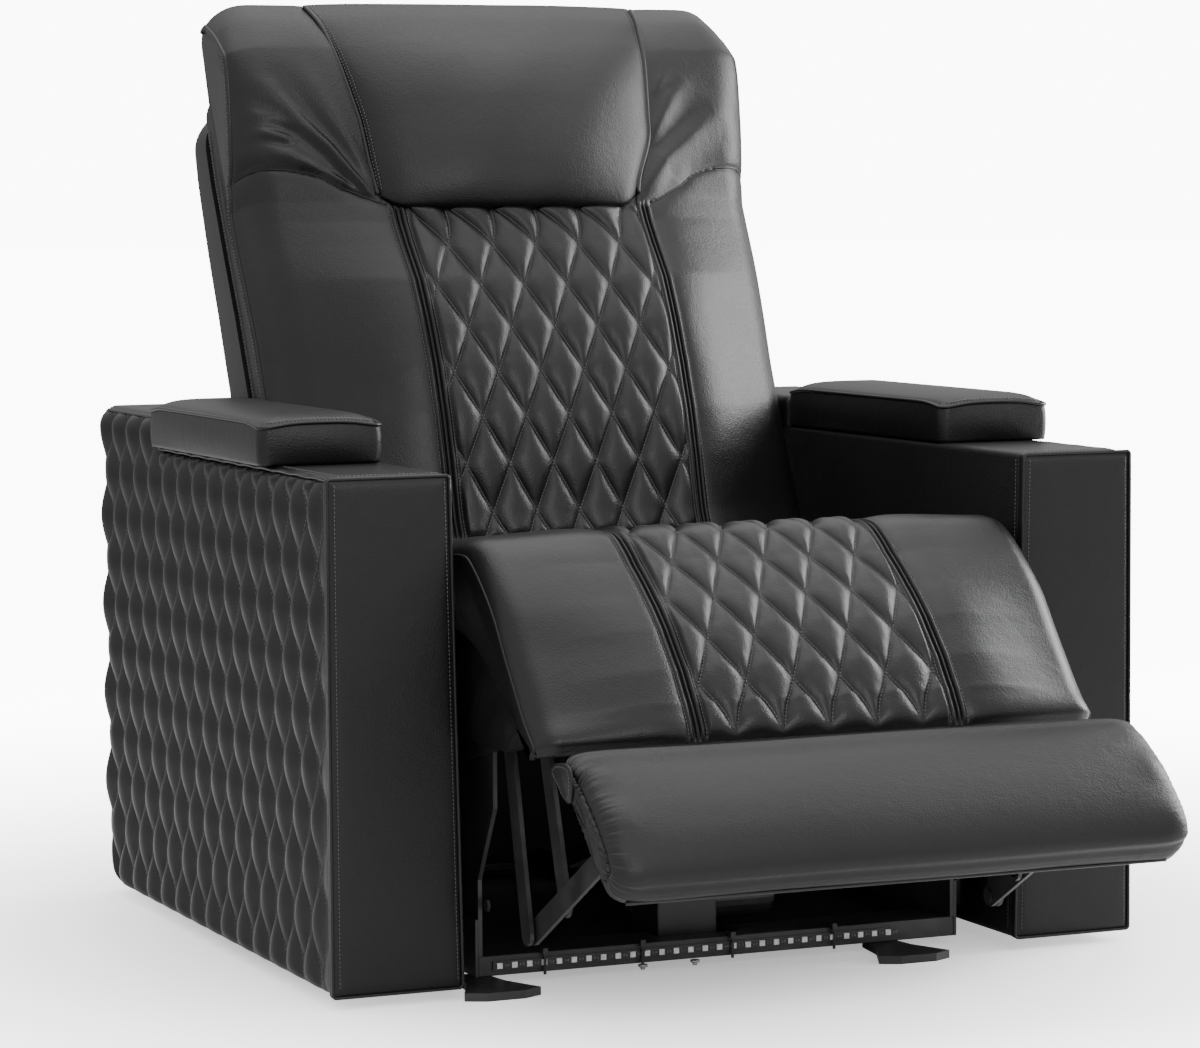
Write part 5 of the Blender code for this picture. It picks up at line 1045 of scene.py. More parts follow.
def boxed_pad(x0, x1, y0, y1, bottom, seam, crown, corner, bulge, dip, steps, tuck):
    """A boxed pad: bulging walls, a sewn top edge that dips at its corners, a crowned top."""
    cx, cy, hx, hy = (x0 + x1) / 2, (y0 + y1) / 2, (x1 - x0) / 2, (y1 - y0) / 2

    def outline(inset, swell):
        """A rounded rectangle drawn in by an inset, its sides swelled between corners."""
        a, b, r = hx - inset, hy - inset, max(0.002, corner - inset * 0.4)
        t = np.linspace(0, 1, steps)[1:-1, None]
        quarters = (((1, 1), (r - a, b), (0, 1)), ((-1, 1), (-a, r - b), (-1, 0)),
                    ((-1, -1), (a - r, -b), (0, -1)), ((1, -1), (a, b - r), (1, 0)))
        pts = []
        for quarter, (side, stop, out) in enumerate(quarters):
            turn = np.radians(90 * quarter + np.linspace(0, 90, 9))
            centre = np.array(side) * (a - r, b - r)
            pts.append(centre + r * np.column_stack([np.cos(turn), np.sin(turn)]))
            start = pts[-1][-1]
            pts.append(start + (stop - start) * t
                       + np.array(out) * swell * np.sin(np.pi * t) ** 0.7)
        return np.vstack(pts)

    def ring_at(ring, z):
        """A level outline set at a height."""
        return line_at(cx + ring[:, 0], cy + ring[:, 1], z)

    def pull(ring):
        """How much the seam dips near a corner."""
        gap = np.hypot(hx - np.abs(ring[:, 0]), hy - np.abs(ring[:, 1]))
        return dip * np.exp(-(gap / 0.028) ** 2)

    levels = []
    for t in np.linspace(0, 1, 15):
        swell = bulge * math.sin(math.pi * t) ** 0.8
        inset = tuck * (1 - math.sin(math.pi * (0.1 + 0.8 * t)) ** 0.8)
        ring = outline(inset, swell)
        levels.append((ring, bottom + (seam - bottom) * t - pull(ring) * t ** 2))
    fold = outline(tuck + 0.0016, 0.0)
    levels.append((fold, seam - 0.0006 - pull(fold)))
    for t in np.linspace(0.0, 1, 18)[1:]:
        ring = outline(tuck + 0.001 + t * (min(hx, hy) - tuck - 0.004), 0.0)
        rise = 0.0025 * (1 - math.exp(-t * 16)) + crown * (1 - (1 - t) ** 2.4)
        levels.append((ring, seam + rise - pull(ring) * (1 - t) ** 3))
    points = [ring_at(*level) for level in levels]
    faces = capped_faces(len(points), len(points[0]))
    edge = outline(tuck * 0.5, 0.0)
    inner = outline(tuck + 0.0055, 0.0)
    return (np.vstack(points), faces, ring_at(edge, seam + 0.0004 - pull(edge)),
            ring_at(inner, seam + 0.0036 - pull(inner)))


def upright(points):
    """Turn a pad that was built lying down so that its crown faces the front."""
    return line_at(points[:, 0], -points[:, 2], points[:, 1])


def make_arm(side, sign):
    """One arm: front panel, body with its storage well, quilted side, seams and stitches."""
    x0, x1 = sorted((sign * OPENING_HALF, sign * (ARM_OUTER - 0.0005)))
    points, faces, seam_ring, _ = boxed_pad(
        x0, x1, ARM_BOTTOM, ARM_HEIGHT - 0.001, bottom=-0.0135, seam=-0.003, crown=0.0012,
        corner=0.004, bulge=0.0, dip=0.0, steps=40, tuck=0.0018)
    front = make_piece(f"{side}_arm_front", spread_foot(upright(points), sign), faces, leather,
                       "base", (f"{side}_arm_body",))
    body_mesh = side_mesh(f"{side}_arm_main", sign, (OPENING_HALF, FRONT_SEAM, ARM_BOTTOM),
                          (ARM_OUTER - 0.01, LID_REAR + 0.02, ARM_HEIGHT), 0.0065, 5)
    spread_mesh(body_mesh, sign)
    main = place_piece(f"{side}_arm_main", body_mesh, leather, "base", (f"{side}_arm_body",))
    x0, x1 = sorted(sign * x for x in WELL_HALF)
    cut_box(main, "well", (x0, WELL_LENGTH[0], WELL_FLOOR),
            (x1, WELL_LENGTH[1], ARM_HEIGHT + 0.064))
    rear_mesh = side_mesh(f"{side}_arm_rear", sign, (OPENING_HALF, LID_REAR + 0.0006, ARM_BOTTOM),
                          (ARM_OUTER - 0.008, ARM_LENGTH, ARM_HEIGHT + REAR_RISE), 0.012, 6)
    spread_mesh(rear_mesh, sign)
    for vertex in rear_mesh.vertices:
        low = max(0.0, 0.05 - vertex.co.z) / 0.05
        if vertex.co.y > 0.75:
            vertex.co.y -= 0.022 * low ** 2
    place_piece(f"{side}_arm_rear", rear_mesh, leather, "base", (f"{side}_arm_body",))
    make_quilted_side(side, sign)
    make_arm_seams(side, sign, spread_foot(upright(seam_ring), sign))


def quilt_top(y):
    """Top of the quilted side at a distance from the front."""
    return SIDE_TOP + REAR_RISE * smoothstep(LID_REAR - 0.004, LID_REAR + 0.01, y)


def make_quilted_side(side, sign):
    """The quilted outer side with domed diamonds, scalloped at its top, and its sewn edge."""
    step, rise = SIDE_CELL / 30, SIDE_LONG / 30
    top_all = SIDE_TOP + REAR_RISE
    ys = np.concatenate([[SIDE_FRONT], lattice(SIDE_NODE[0], step, SIDE_FRONT, SIDE_REAR),
                         [SIDE_REAR]])
    zs = np.concatenate([[ARM_BOTTOM], lattice(SIDE_NODE[1], rise, ARM_BOTTOM, top_all),
                         [top_all]])
    y, level = ys[None, :], zs[:, None]
    top = quilt_top(y)
    z = np.where(level < SIDE_BEND, level + 0 * y,
                 SIDE_BEND + (level - SIDE_BEND) * (top - SIDE_BEND) / (top_all - SIDE_BEND))
    p, q = seam_places(y - SIDE_NODE[0], z - SIDE_NODE[1], SIDE_CELL, SIDE_LONG)
    dp, dq = 2 * np.abs(p - np.round(p)), 2 * np.abs(q - np.round(q))
    dome = (1 - (1 - dp) ** 2.0) * (1 - (1 - dq) ** 2.0)
    pucker = 0.03 * np.sin(19 * p + q) * np.exp(-dq * 4) * np.minimum(dp, dq)
    flat_front = 0.3 + 0.7 * smoothstep(0.012, 0.045, y - SIDE_FRONT)
    body = SIDE_QUILT_RISE * (dome + pucker) * flat_front
    edge = (pillow_profile((y - SIDE_FRONT) / 0.014) * pillow_profile((SIDE_REAR - y) / 0.02)
            * pillow_profile((top - z) / 0.017) * pillow_profile((z - ARM_BOTTOM) / 0.018))
    height = (SIDE_FILL + body) * edge
    corner = 0.022 * smoothstep(0.045, 0.0, SIDE_REAR - y) * smoothstep(0.06, 0.0, z - ARM_BOTTOM)
    depth = ARM_OUTER - 0.0105 + height - corner * 0.3
    points = line_at(sign * depth, y - corner, z)
    inner = line_at(sign * (ARM_OUTER - 0.0125), y - corner, z)
    sheet = Sheet(zs, ys, points)
    rows, columns = z.shape
    faces = close_slab(seam_triangles(rows, columns, nearer_p(p, q)), rows, columns)
    cover = make_piece(f"{side}_quilted_side", np.concatenate([points, inner]).reshape(-1, 3),
                       faces, quilt_leather, "base", (f"{side}_quilted_pad",))
    heights = np.linspace(ARM_BOTTOM + 0.008, ARM_HEIGHT - 0.014, 240)
    runs = []
    for k in range(-12, 24):
        for way in (1, -1):
            line = SIDE_NODE[0] + SIDE_CELL * (k - way * (heights - SIDE_NODE[1]) / SIDE_LONG)
            keep = (line > SIDE_FRONT + 0.004) & (line < SIDE_REAR - 0.012)
            if keep.sum() > 8:
                point, _ = sheet.at(level_row(heights[keep], line[keep], top_all), line[keep])
                runs.append((point, facing(sign, 0, 0, len(point))))
    make_stitches(f"{side}_side_stitches", runs, "base", pitch=0.0052)


def level_row(z, y, top_all):
    """The quilted side's row for a height at a distance from the front."""
    stretch = (top_all - SIDE_BEND) / (quilt_top(y) - SIDE_BEND)
    return np.where(z < SIDE_BEND, z, SIDE_BEND + (z - SIDE_BEND) * stretch)


def make_arm_seams(side, sign, front_ring):
    """Piping and stitch rows on the arm's edges."""
    z = np.linspace(ARM_BOTTOM + 0.01, ARM_HEIGHT - 0.007, 200)
    y = np.linspace(SIDE_FRONT, LID_REAR, 240)
    wave = np.abs(np.sin(np.pi * (y - SIDE_NODE[0]) / SIDE_CELL + np.pi / 2))
    top_line = line_at(sign * (ARM_OUTER - 0.0085 + 0.0012 * wave), y,
                       ARM_HEIGHT - 0.004 + 0.0014 * wave)
    rear_line_y = np.linspace(LID_REAR + 0.01, ARM_LENGTH - 0.016, 80)
    forms = [tube_grid(np.vstack([front_ring, front_ring[:1]]), 0.0017, 6),
             tube_grid(line_at(sign * (ARM_OUTER - 0.0035), 0.014, z), 0.0022),
             tube_grid(top_line, 0.002),
             tube_grid(line_at(sign * (ARM_OUTER - 0.009), rear_line_y,
                               ARM_HEIGHT + REAR_RISE - 0.005), 0.002)]
    make_piece(f"{side}_arm_piping", *join_forms(forms), piping_painted_highlight, "base")
    inner = arm_inner(z)
    x = np.linspace(OPENING_HALF + 0.008, ARM_OUTER - 0.016, 60)
    y = np.linspace(0.022, LID_FRONT - 0.004, 60)
    runs = [(line_at(sign * (ARM_OUTER - 0.0082), 0.0004, z), facing(0, -1, 0, len(z))),
            (line_at(sign * (inner + 0.0072), 0.0004, z), facing(0, -1, 0, len(z))),
            (line_at(sign * x, 0.0175, ARM_HEIGHT), facing(0, 0, 1, len(x))),
            (line_at(sign * (ARM_OUTER - 0.018), y, ARM_HEIGHT), facing(0, 0, 1, len(y))),
            (line_at(sign * inner, 0.0175, z), facing(-sign, 0, 0, len(z)))]
    make_stitches(f"{side}_arm_stitches", runs, "base", lift=0.0003)


# Lids

LID_OVERHANG, LID_WALL = 0.0058, 0.044


def make_lid(side, sign):
    """The padded lid of one arm."""
    x0, x1 = sorted((sign * (OPENING_HALF + 0.0005), sign * (ARM_OUTER + LID_OVERHANG)))
    points, faces, seam_ring, stitch_ring = boxed_pad(
        x0, x1, LID_FRONT + 0.0008, LID_REAR - 0.001, bottom=ARM_HEIGHT + 0.0004,
        seam=ARM_HEIGHT + LID_WALL, crown=0.0085, corner=0.013, bulge=0.0032, dip=0.005,
        steps=26, tuck=0.0022)
    lid = make_piece(f"{side}_lid_cover", points, faces, leather, f"{side}_lid",
                     (f"{side}_lid_pad",))
    make_tube(f"{side}_lid_piping", np.vstack([seam_ring, seam_ring[:1]]), 0.0019,
              piping_painted_highlight, f"{side}_lid", 6)
    row = stitch_ring[stitch_ring[:, 1] < stitch_ring[:, 1].min() + 0.004]
    row = row[np.argsort(row[:, 0])]
    make_stitches(f"{side}_lid_stitches", [(row, facing(0, 0, 1, len(row)))], f"{side}_lid")


# Footrest

PAD_PIVOT = (-0.268, 0.199)
PAD_TILT = math.radians(42.0)
PAD_HALF = 0.314
PAD_REACH = (0.075, 0.097)
PAD_UNDER, PAD_DEEP = 0.0155, 0.076
PAD_END, PAD_TURN, PAD_DRAW = 0.034, 0.031, 0.018
PAD_CAP = ((0.0, 0.0), (0.006, -0.0018), (0.016, -0.002), (0.03, 0.0004), (0.06, 0.0024),
           (0.12, 0.0034), (0.25, 0.004), (0.45, 0.0042), (0.7, 0.0042))
PAD_SHARES = ((-1.0, 0.1), (-0.98, 0.5), (-0.8, 0.62), (-0.4, 0.84), (0.1, 0.98),
              (0.45, 1.0), (0.72, 0.93), (0.9, 0.79), (0.985, 0.63), (0.974, 0.47), (0.985, 0.33),
              (0.965, 0.15), (0.86, 0.0), (0.3, 0.0), (-0.3, 0.0), (-0.88, 0.0))


def pad_place(share):
    """A side-view place on the footrest pad."""
    run = share[0] * PAD_REACH[int(share[0] > 0)]
    out = PAD_UNDER + share[1] * (PAD_DEEP - PAD_UNDER)
    return (PAD_PIVOT[0] - run * math.cos(PAD_TILT) - out * math.sin(PAD_TILT),
            PAD_PIVOT[1] - run * math.sin(PAD_TILT) + out * math.cos(PAD_TILT))


def make_footrest():
    """The footrest pad: a smooth dome gathered at its end seams, with flat end panels."""
    loop = [pad_place(s) for s in PAD_SHARES]
    ring = catmull(loop + [loop[0]], 22)[:-1]
    count = len(ring)
    normal = side_normals(np.vstack([ring, ring[:1]]))[:-1]
    if ((ring - ring.mean(0)) * normal).sum() < 0:
        normal = -normal
    travelled = lengths(np.vstack([ring, ring[:1]]))[:-1]
    axes = np.array([[math.cos(PAD_TILT), math.sin(PAD_TILT)],
                     [-math.sin(PAD_TILT), math.cos(PAD_TILT)]])
    local = ring @ axes.T
    half = np.ptp(local, axis=0) / 2
    inward = ((local - local.min(0) - half) / half) @ axes
    flat = np.linspace(PAD_END - PAD_HALF, PAD_HALF - PAD_END, 70)
    turn = np.linspace(0, 1, 26)[1:] * np.pi / 2
    edge = PAD_HALF - PAD_END + PAD_TURN * np.sin(turn)
    xs = np.concatenate([-edge[::-1], flat, edge])
    draw = PAD_DRAW * (1 - np.cos(turn)) ** 1.15
    draws = np.concatenate([draw[::-1], np.zeros(len(flat)), draw])
    rows = []
    for x, sink in zip(xs, draws):
        gap = max(0.0, PAD_HALF - 0.003 - abs(x))
        way = 1.0 if x > 0 else 2.3
        depth = 0.00035 if x > 0 else 0.00085
        gather = (np.sin(travelled * 620 + way * 9 + 2.2 * np.sin(travelled * 140 + way))
                  + 0.6 * np.sin(travelled * 1130 + way * 4 + 1.5 * np.sin(travelled * 210)))
        soft = np.sin(travelled * 95 + way * 5 + x * 14)
        relief = (depth * math.exp(-(gap / 0.011) ** 1.4) * gather
                  + 0.0013 * math.exp(-((gap - 0.02) / 0.016) ** 2) * soft
                  + 0.0009 * np.sin(x * 21 + travelled * 30) * math.exp(-gap / 0.25))
        line = ring + normal * relief[:, None] - inward * sink
        rows.append(np.column_stack([np.full(count, x), line]))
    rows = np.array(rows)
    faces = list(grid_faces(len(rows), count, wrap=True))
    forms = [(rows.reshape(-1, 3), faces)]
    for rim, sign in ((rows[0], -1.0), (rows[-1], 1.0)):
        centre = rim.mean(0)
        layers = []
        for t, out in PAD_CAP:
            layer = centre + (rim - centre) * (1 - t)
            gather = 0.0007 * np.sin(travelled * 520 + sign * 3)
            layer[:, 0] = rim[:, 0] + sign * (out + gather * hill(t, 0.08, 0.07))
            layers.append(layer)
        cap = list(grid_faces(len(layers), count, wrap=True))
        tip = len(layers) * count
        cap += [(tip - count + k, tip - count + (k + 1) % count, tip) for k in range(count)]
        tip_point = centre + np.array([sign * PAD_CAP[-1][1], 0, 0])
        forms.append((np.vstack([*layers, tip_point]), cap))
    pad = make_piece("footrest_cover", *join_forms(forms), leather, "footrest",
                     ("footrest_pad",), merge=0.00002)
    line = line_at(np.linspace(-PAD_HALF + 0.022, PAD_HALF - 0.022, 80), *pad_place((0.955, 0.1)))
    make_tube("footrest_piping", line, 0.0019, piping_painted_highlight, "footrest")
    make_pad_tab()


TAB_FACE = -0.3182
TAB_OUTLINE = ((-0.2305, 0.2663), (-0.2429, 0.2731), (-0.2655, 0.2753), (-0.2786, 0.2708),
               (-0.2825, 0.2562), (-0.2791, 0.2425), (-0.272, 0.2386), (-0.2619, 0.242),
               (-0.2487, 0.2525), (-0.2346, 0.2622), (-0.2305, 0.2663))


def make_pad_tab():
    """The stitched tab at the right end of the footrest pad, at its upper rear corner."""
    outline = catmull(TAB_OUTLINE, 6)[:-1]
    count = len(outline)

    def level(x, share):
        """The outline at a depth, drawn in to a share of its size."""
        return line_at(x, *(outline.mean(0) + (outline - outline.mean(0)) * share).T)

    points = np.vstack([level(TAB_FACE, 0.93), level(TAB_FACE + 0.001, 1.0),
                        level(TAB_FACE + 0.0027, 1.0)])
    faces = [*grid_faces(3, count, wrap=True), range(count), range(2 * count, 3 * count)]
    make_piece("right_pad_tab", points, faces, leather, "footrest", crease=50)
    row = level(TAB_FACE - 0.0001, 0.8)
    make_stitches("right_tab_stitches", [(row, facing(-1, 0, 0, count))], "footrest",
                  pitch=0.0036, length=0.0024, lift=0.0002)


# Steelwork details

def disc_form(centre, axis, radius, depth, sides=10):
    """A short cylinder as points and faces."""
    centre, axis = np.array(centre, float), np.array(axis, float)
    path = np.array([centre, centre + axis * depth])
    return tube_grid(path, radius, sides)


STRIP_FACE, STRIP_HEIGHT = 0.0627, 0.0195
CHIP_PITCH, CHIP_HALF = 0.0167, 0.0029
CHIP_FIRST, CHIP_LAST = -0.255, 0.196


def make_light_strip():
    """Chips, resistors, ties and clips of the light strip on the front rail."""
    z, y = STRIP_HEIGHT, STRIP_FACE
    chips, parts = [], []
    x = CHIP_FIRST
    while x < CHIP_LAST:
        chips.append(box_form((x - CHIP_HALF, y - 0.0016, z - CHIP_HALF),
                              (x + CHIP_HALF, y, z + CHIP_HALF)))
        for left in (0.006, 0.0092):
            parts.append(box_form((x + left, y - 0.001, z - 0.0013),
                                  (x + left + 0.0018, y, z + 0.0013)))
        x += CHIP_PITCH
    make_piece("light_chips", *join_forms(chips), chip_finish, "base", smooth=False)
    make_piece("light_parts", *join_forms(parts), part_finish, "base", smooth=False)
    ties = []
    for x in (-0.205, -0.094, 0.01, 0.13):
        loop = [(x, y - 0.0022, z - 0.0125), (x, y - 0.0026, z), (x, y - 0.0022, z + 0.0125),
                (x, y + 0.008, z + 0.0132), (x, y + 0.012, z + 0.0125)]
        ties.append(tube_grid(catmull(loop, 6), 0.0016, 6))
        ties.append(box_form((x - 0.0028, y - 0.0045, z + 0.0085),
                             (x + 0.0028, y + 0.0005, z + 0.015)))
    make_piece("strip_ties", *join_forms(ties), plastic, "base", smooth=False)
    clips = []
    for x in (-0.094, -0.034):
        clips.append(disc_form((x, 0.06, 0.0085), (0, 0, -1), 0.005, 0.0024, 12))
        clips.append(disc_form((x, 0.06, 0.0062), (0, 0, -1), 0.0026, 0.003, 10))
    make_piece("rail_clips", *join_forms(clips), bright, "base")


def spring_path(start, end, turns, radius, steps=16):
    """A coil spring's wire between two places, with a hook at each end."""
    start, end = np.array(start, float), np.array(end, float)
    axis = end - start
    axis /= np.linalg.norm(axis)
    a = np.cross(axis, [1.0, 0.0, 0.0])
    a /= np.linalg.norm(a)
    b = np.cross(axis, a)
    t = np.linspace(0, 1, turns * steps + 1)
    turn = 2 * np.pi * turns * t
    body = (start + (end - start) * t[:, None] + radius * (np.cos(turn)[:, None] * a
                                                         + np.sin(turn)[:, None] * b))
    return np.vstack([start - axis * 0.006, body, end + axis * 0.006])


PLATE_FACE, LINK_FACE, SPRING_LINE = 0.2727, 0.2657, 0.2425
PLATE_BOLTS = ((0.1, 0.2), (0.3, 0.2), (0.42, 0.2), (0.055, 0.085), (0.14, 0.07))
PLATE_RIVETS = ((0.045, 0.235), (0.052, 0.15), (0.08, 0.12))
LINK_TOP, LINK_RUN = (-0.001, 0.276), (-0.052, -0.212)


def make_mechanism():
    """Bolts, bosses, springs and the wire on the steelwork."""
    for side, sign in SIDES:
        forms = [disc_form((sign * PLATE_FACE, y, z), (-sign, 0, 0), 0.0065, 0.003, 6)
                 for y, z in PLATE_BOLTS]
        forms += [disc_form((sign * PLATE_FACE, y, z), (-sign, 0, 0), 0.0042, 0.0022, 14)
                  for y, z in PLATE_RIVETS]
        make_piece(f"{side}_plate_bolts", *join_forms(forms), steel, "base", smooth=False)
        bosses = [disc_form((sign * LINK_FACE, LINK_TOP[0] + LINK_RUN[0] * share,
                             LINK_TOP[1] + LINK_RUN[1] * share), (-sign, 0, 0), 0.004, 0.0014, 12)
                  for share in (0.22, 0.36, 0.52, 0.66)]
        make_piece(f"{side}_link_bosses", *join_forms(bosses), bright, "footrest_drive")
        spring = spring_path((sign * SPRING_LINE, -0.03, 0.268),
                             (sign * SPRING_LINE, 0.075, 0.252), 20, 0.0055)
        make_tube(f"{side}_seat_spring", spring, 0.0009, bright, "seat", 6)
    wire = catmull([(0.092, 0.155, 0.06), (0.115, 0.17, 0.058), (0.14, 0.22, 0.045),
                    (0.15, 0.32, 0.04), (0.12, 0.45, 0.04), (0.06, 0.52, 0.045)], 10)
    make_tube("motor_wire", wire, 0.0022, plastic, "seat")


def hang_cloth(name, half, upper, lower, body):
    """A black cloth between two level lines, each given as (distance from front, height)."""
    x = np.linspace(-half, half, 61)
    t = np.linspace(0, 1, 24)[:, None]
    y = upper[0] + (lower[0] - upper[0]) * t + 0.0025 * np.sin(x * 37 + 5 * t) * np.sin(np.pi * t)
    points = line_at(x, y, upper[1] + (lower[1] - upper[1]) * t)
    cloth = make_piece(name, points.reshape(-1, 3), grid_faces(len(t), len(x)), lining, body)


def make_rear_cloth():
    """Black lining cloth at the rear: one on the base and a flap on the back."""
    hang_cloth("rear_cloth", 0.316, (0.67, 0.274), (0.6665, 0.022), "base")
    hang_cloth("back_flap", 0.2715, (0.59, 0.405), (0.653, 0.262), "back")


SEAT_SIDE_OUTER, SEAT_SIDE_INNER, SEAT_SIDE_FOOT = 0.3022, 0.2848, 0.2625


def make_seat_sides():
    """Upholstered sides of the seat box, with soft creases."""
    for side, sign in SIDES:
        low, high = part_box(f"{side}_seat_board")
        y0, y1 = low[1] - FRONT, high[1] - FRONT
        top = catmull([seat_point(k) for k in SEAT_UNDER_SHARES[1:-1]], 12)
        y = np.linspace(y0 + 0.001, y1 - 0.001, 120)
        t = np.linspace(0, 1, 26)[:, None]
        upper = np.interp(y, top[:, 0], top[:, 1]) - 0.0006
        front_cut = smoothstep(y0 + 0.045, y0, y)
        lower = SEAT_SIDE_FOOT + (upper - 0.012 - SEAT_SIDE_FOOT) * front_cut
        z = lower + (upper - lower) * t
        arch = np.maximum(np.sin(np.pi * t), 0.0)
        puff = 0.0022 * arch ** 0.6
        crease = 0.0016 * np.sin(y * 70 + t * 7 + 2 * np.sin(y * 23)) * arch
        outer = line_at(sign * (SEAT_SIDE_OUTER + puff + crease), y, z)
        inner = line_at(sign * SEAT_SIDE_INNER, y, z)
        rows, columns = z.shape
        # The sides take the darker copy of the leather: painted shade under the seat.
        make_piece(f"{side}_seat_side", np.concatenate([outer, inner]).reshape(-1, 3),
                   close_slab(grid_faces(rows, columns), rows, columns), leather_painted_shade, "seat",
                   (f"{side}_seat_board",), crease=60)


# Studio

CAMERA_TURN = (23.226, 4.687, -0.397)
CAMERA_PLACE = (-1.80685, -3.82534, 0.82043)
CAMERA_LENS, CAMERA_WIDTH = 122.877, 36.0


def make_camera():
    """The photograph's camera, fitted to the chair."""
    yaw, pitch, roll = (math.radians(a) for a in CAMERA_TURN)
    forward = Vector((math.sin(yaw), math.cos(yaw), 0))
    right = Vector((math.cos(yaw), -math.sin(yaw), 0))
    up = Vector((0, 0, 1))
    look = forward * math.cos(pitch) - up * math.sin(pitch)
    top = up * math.cos(pitch) + forward * math.sin(pitch)
    across = right * math.cos(roll) + top * math.sin(roll)
    top = top * math.cos(roll) - right * math.sin(roll)
    turn = Matrix((across, top, -look)).transposed().to_4x4()
    data = bpy.data.cameras.new("camera")
    data.lens, data.sensor_width, data.clip_end = CAMERA_LENS, CAMERA_WIDTH, 60.0
    camera = bpy.data.objects.new("camera", data)
    camera.matrix_world = Matrix.Translation(Vector(CAMERA_PLACE) + Vector((0, FRONT, 0))) @ turn
    bpy.context.scene.collection.objects.link(camera)
    bpy.context.scene.camera = camera


def add_light(name, place, target, size, power):
    """A soft area light aimed at a place."""
    data = bpy.data.lights.new(name, "AREA")
    data.shape = "RECTANGLE"
    data.size, data.size_y = size
    data.energy = power
    light = bpy.data.objects.new(name, data)
    light.location = place
    aim = Vector(target) - Vector(place)
    light.rotation_euler = aim.to_track_quat("-Z", "Y").to_euler()
    bpy.context.scene.collection.objects.link(light)


SKY_LIGHT, SKY_LOW = 1.65, 0.5
SEEN_WHITE = 10.4
FLOOR_GLOW, FLOOR_GLOW_REACH = (0.45, 10.0), (0.25, 2.3)
FLOOR_DIM, FLOOR_DIM_REACH = (1.0, 0.42), (1.3, 3.0)
FLOOR_SHADES = ((0.86, 0.86, 0.86), (0.9, 0.9, 0.9))
FLOOR_RINGS = (0.5, 1.0, 2.0, 4.0, 10.0, 60.0)


def socket(sockets, identifier):
    """The socket of a node that has an identifier."""
    return next(one for one in sockets if one.identifier == identifier)


def smooth_ramp(tree, source, reach, values):
    """A value that changes smoothly between two ends of its source."""
    ramp = add_node(tree, "ShaderNodeMapRange", interpolation_type="SMOOTHSTEP", Value=source,
                    From_Min=reach[0], From_Max=reach[1], To_Min=values[0], To_Max=values[1])
    return ramp.outputs["Result"]


def seen_directly(tree):
    """1 where the camera looks straight at a surface, 0 where a surface lights another."""
    return tree.nodes.new("ShaderNodeLightPath").outputs["Is Camera Ray"]


def brighten_distance(tree, shader):
    """Let the floor run to white away from the chair, without lighting the chair."""
    away = add_node(tree, "ShaderNodeVectorMath", operation="DISTANCE")
    feed(tree, away.inputs[0], own_place(tree))
    feed(tree, away.inputs[1], (0.0, 0.1, 0.0))
    distance = away.outputs["Value"]
    glow = smooth_ramp(tree, distance, FLOOR_GLOW_REACH, FLOOR_GLOW)
    feed(tree, shader.inputs["Emission Color"], (1.0, 1.0, 1.0, 1.0))
    feed(tree, shader.inputs["Emission Strength"],
         calculate(tree, "MULTIPLY", glow, seen_directly(tree)))
    dim = add_node(tree, "ShaderNodeMix", data_type="RGBA", blend_type="MULTIPLY", Factor=1.0)
    feed(tree, socket(dim.inputs, "A_Color"), shader.inputs["Base Color"].links[0].from_socket)
    feed(tree, socket(dim.inputs, "B_Color"),
         smooth_ramp(tree, distance, FLOOR_DIM_REACH, FLOOR_DIM))
    feed(tree, shader.inputs["Base Color"], socket(dim.outputs, "Result_Color"))


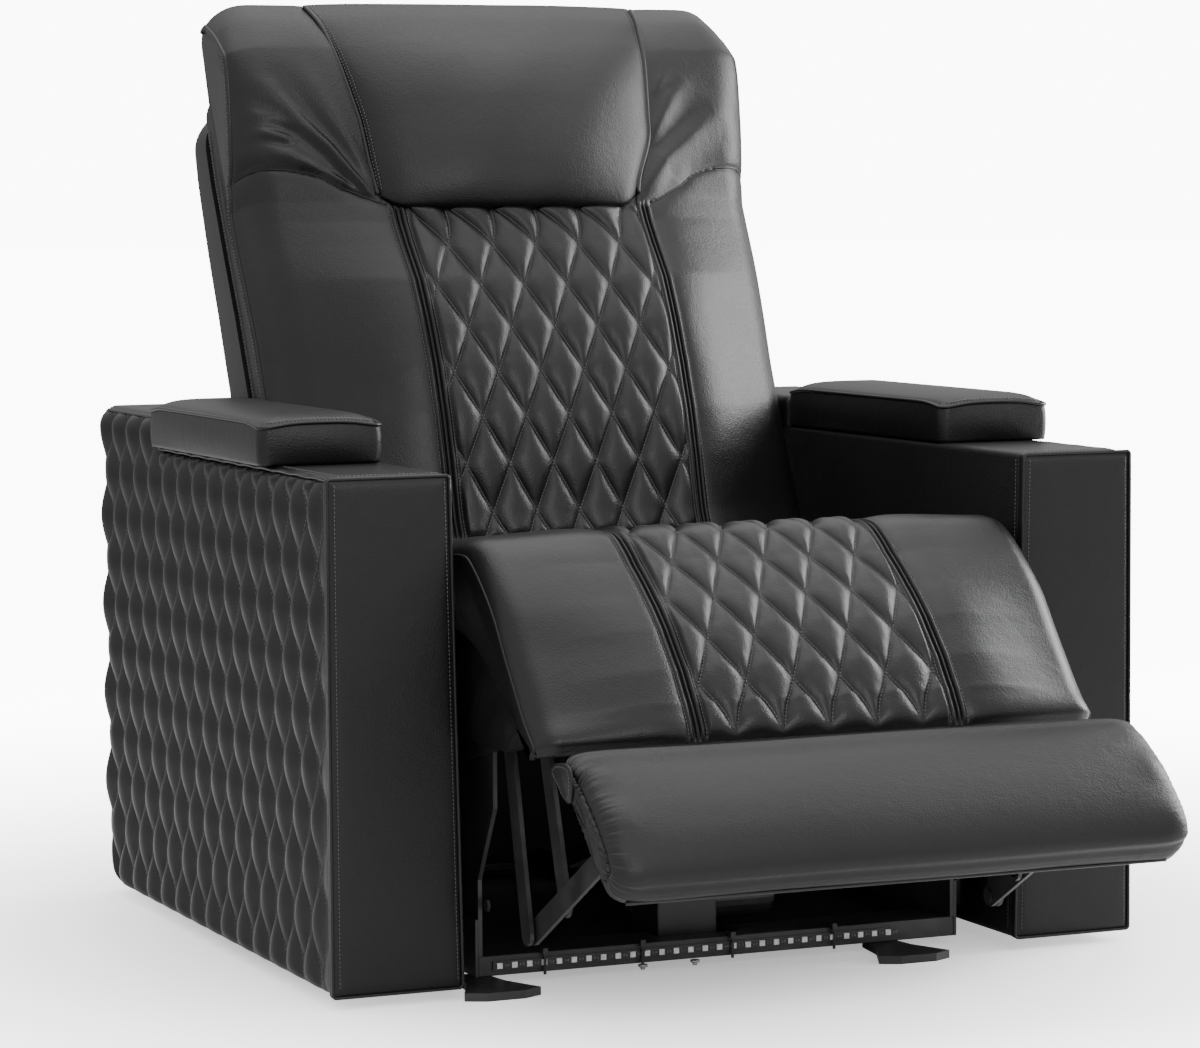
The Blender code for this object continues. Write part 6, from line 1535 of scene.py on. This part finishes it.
def make_sky():
    """A soft white sky, dimmer low behind the chair, which is seen as plain white."""
    world = bpy.data.worlds.new("studio")
    world.use_nodes = True
    tree = world.node_tree
    place = tree.nodes.new("ShaderNodeTexCoord").outputs["Generated"]
    axes = add_node(tree, "ShaderNodeSeparateXYZ", Vector=place)
    behind = calculate(tree, "SUBTRACT", axes.outputs["Y"], axes.outputs["Z"])
    level = add_node(tree, "ShaderNodeMix", Factor=seen_directly(tree))
    feed(tree, socket(level.inputs, "A_Float"),
         smooth_ramp(tree, behind, (0.0, 0.8), (SKY_LIGHT, SKY_LOW)))
    feed(tree, socket(level.inputs, "B_Float"), SEEN_WHITE)
    background = tree.nodes["Background"]
    feed(tree, background.inputs["Color"], (1.0, 1.0, 1.0, 1.0))
    feed(tree, background.inputs["Strength"], socket(level.outputs, "Result_Float"))
    bpy.context.scene.world = world


def make_floor():
    """A wide pale floor, finest under the chair."""
    turn = np.linspace(0, 2 * np.pi, 96, endpoint=False)
    count = len(turn)
    points = [(0.0, 0.0, 0.0)] + [(r * math.cos(t), r * math.sin(t), 0.0)
                                  for r in FLOOR_RINGS for t in turn]
    faces = [(0, 1 + k, 1 + (k + 1) % count) for k in range(count)]
    faces += [tuple(f[::-1] + 1) for f in grid_faces(len(FLOOR_RINGS), count, wrap=True)]
    mesh = new_mesh("floor", points, faces)
    material, tree, shader = new_material("floor")
    noise = add_node(tree, "ShaderNodeTexNoise", Scale=3.0, Detail=2.0)
    set_shades(tree, shader, noise.outputs["Fac"], *FLOOR_SHADES)
    brighten_distance(tree, shader)
    shader.inputs["Roughness"].default_value = 0.55
    mesh.materials.append(material)
    floor = bpy.data.objects.new("floor", mesh)
    bpy.context.scene.collection.objects.link(floor)


make_seat()
make_pillow(*make_back())
make_shell()
for side_name, side_sign in SIDES:
    make_arm(side_name, side_sign)
    make_lid(side_name, side_sign)
make_footrest()
make_seat_sides()
make_rear_cloth()
make_light_strip()
make_mechanism()
make_camera()
make_floor()
make_sky()
add_light("top_light", (0.1, 0.2, 3.1), (0, 0.2, 0.4), (3.2, 2.6), 58.0)
add_light("right_light", (3.0, 0.1, 1.5), (0, 0.1, 0.7), (1.5, 2.4), 168.0)
add_light("front_light", (-0.4, -3.6, 2.3), (0, 0, 0.6), (1.6, 1.4), 55.0)
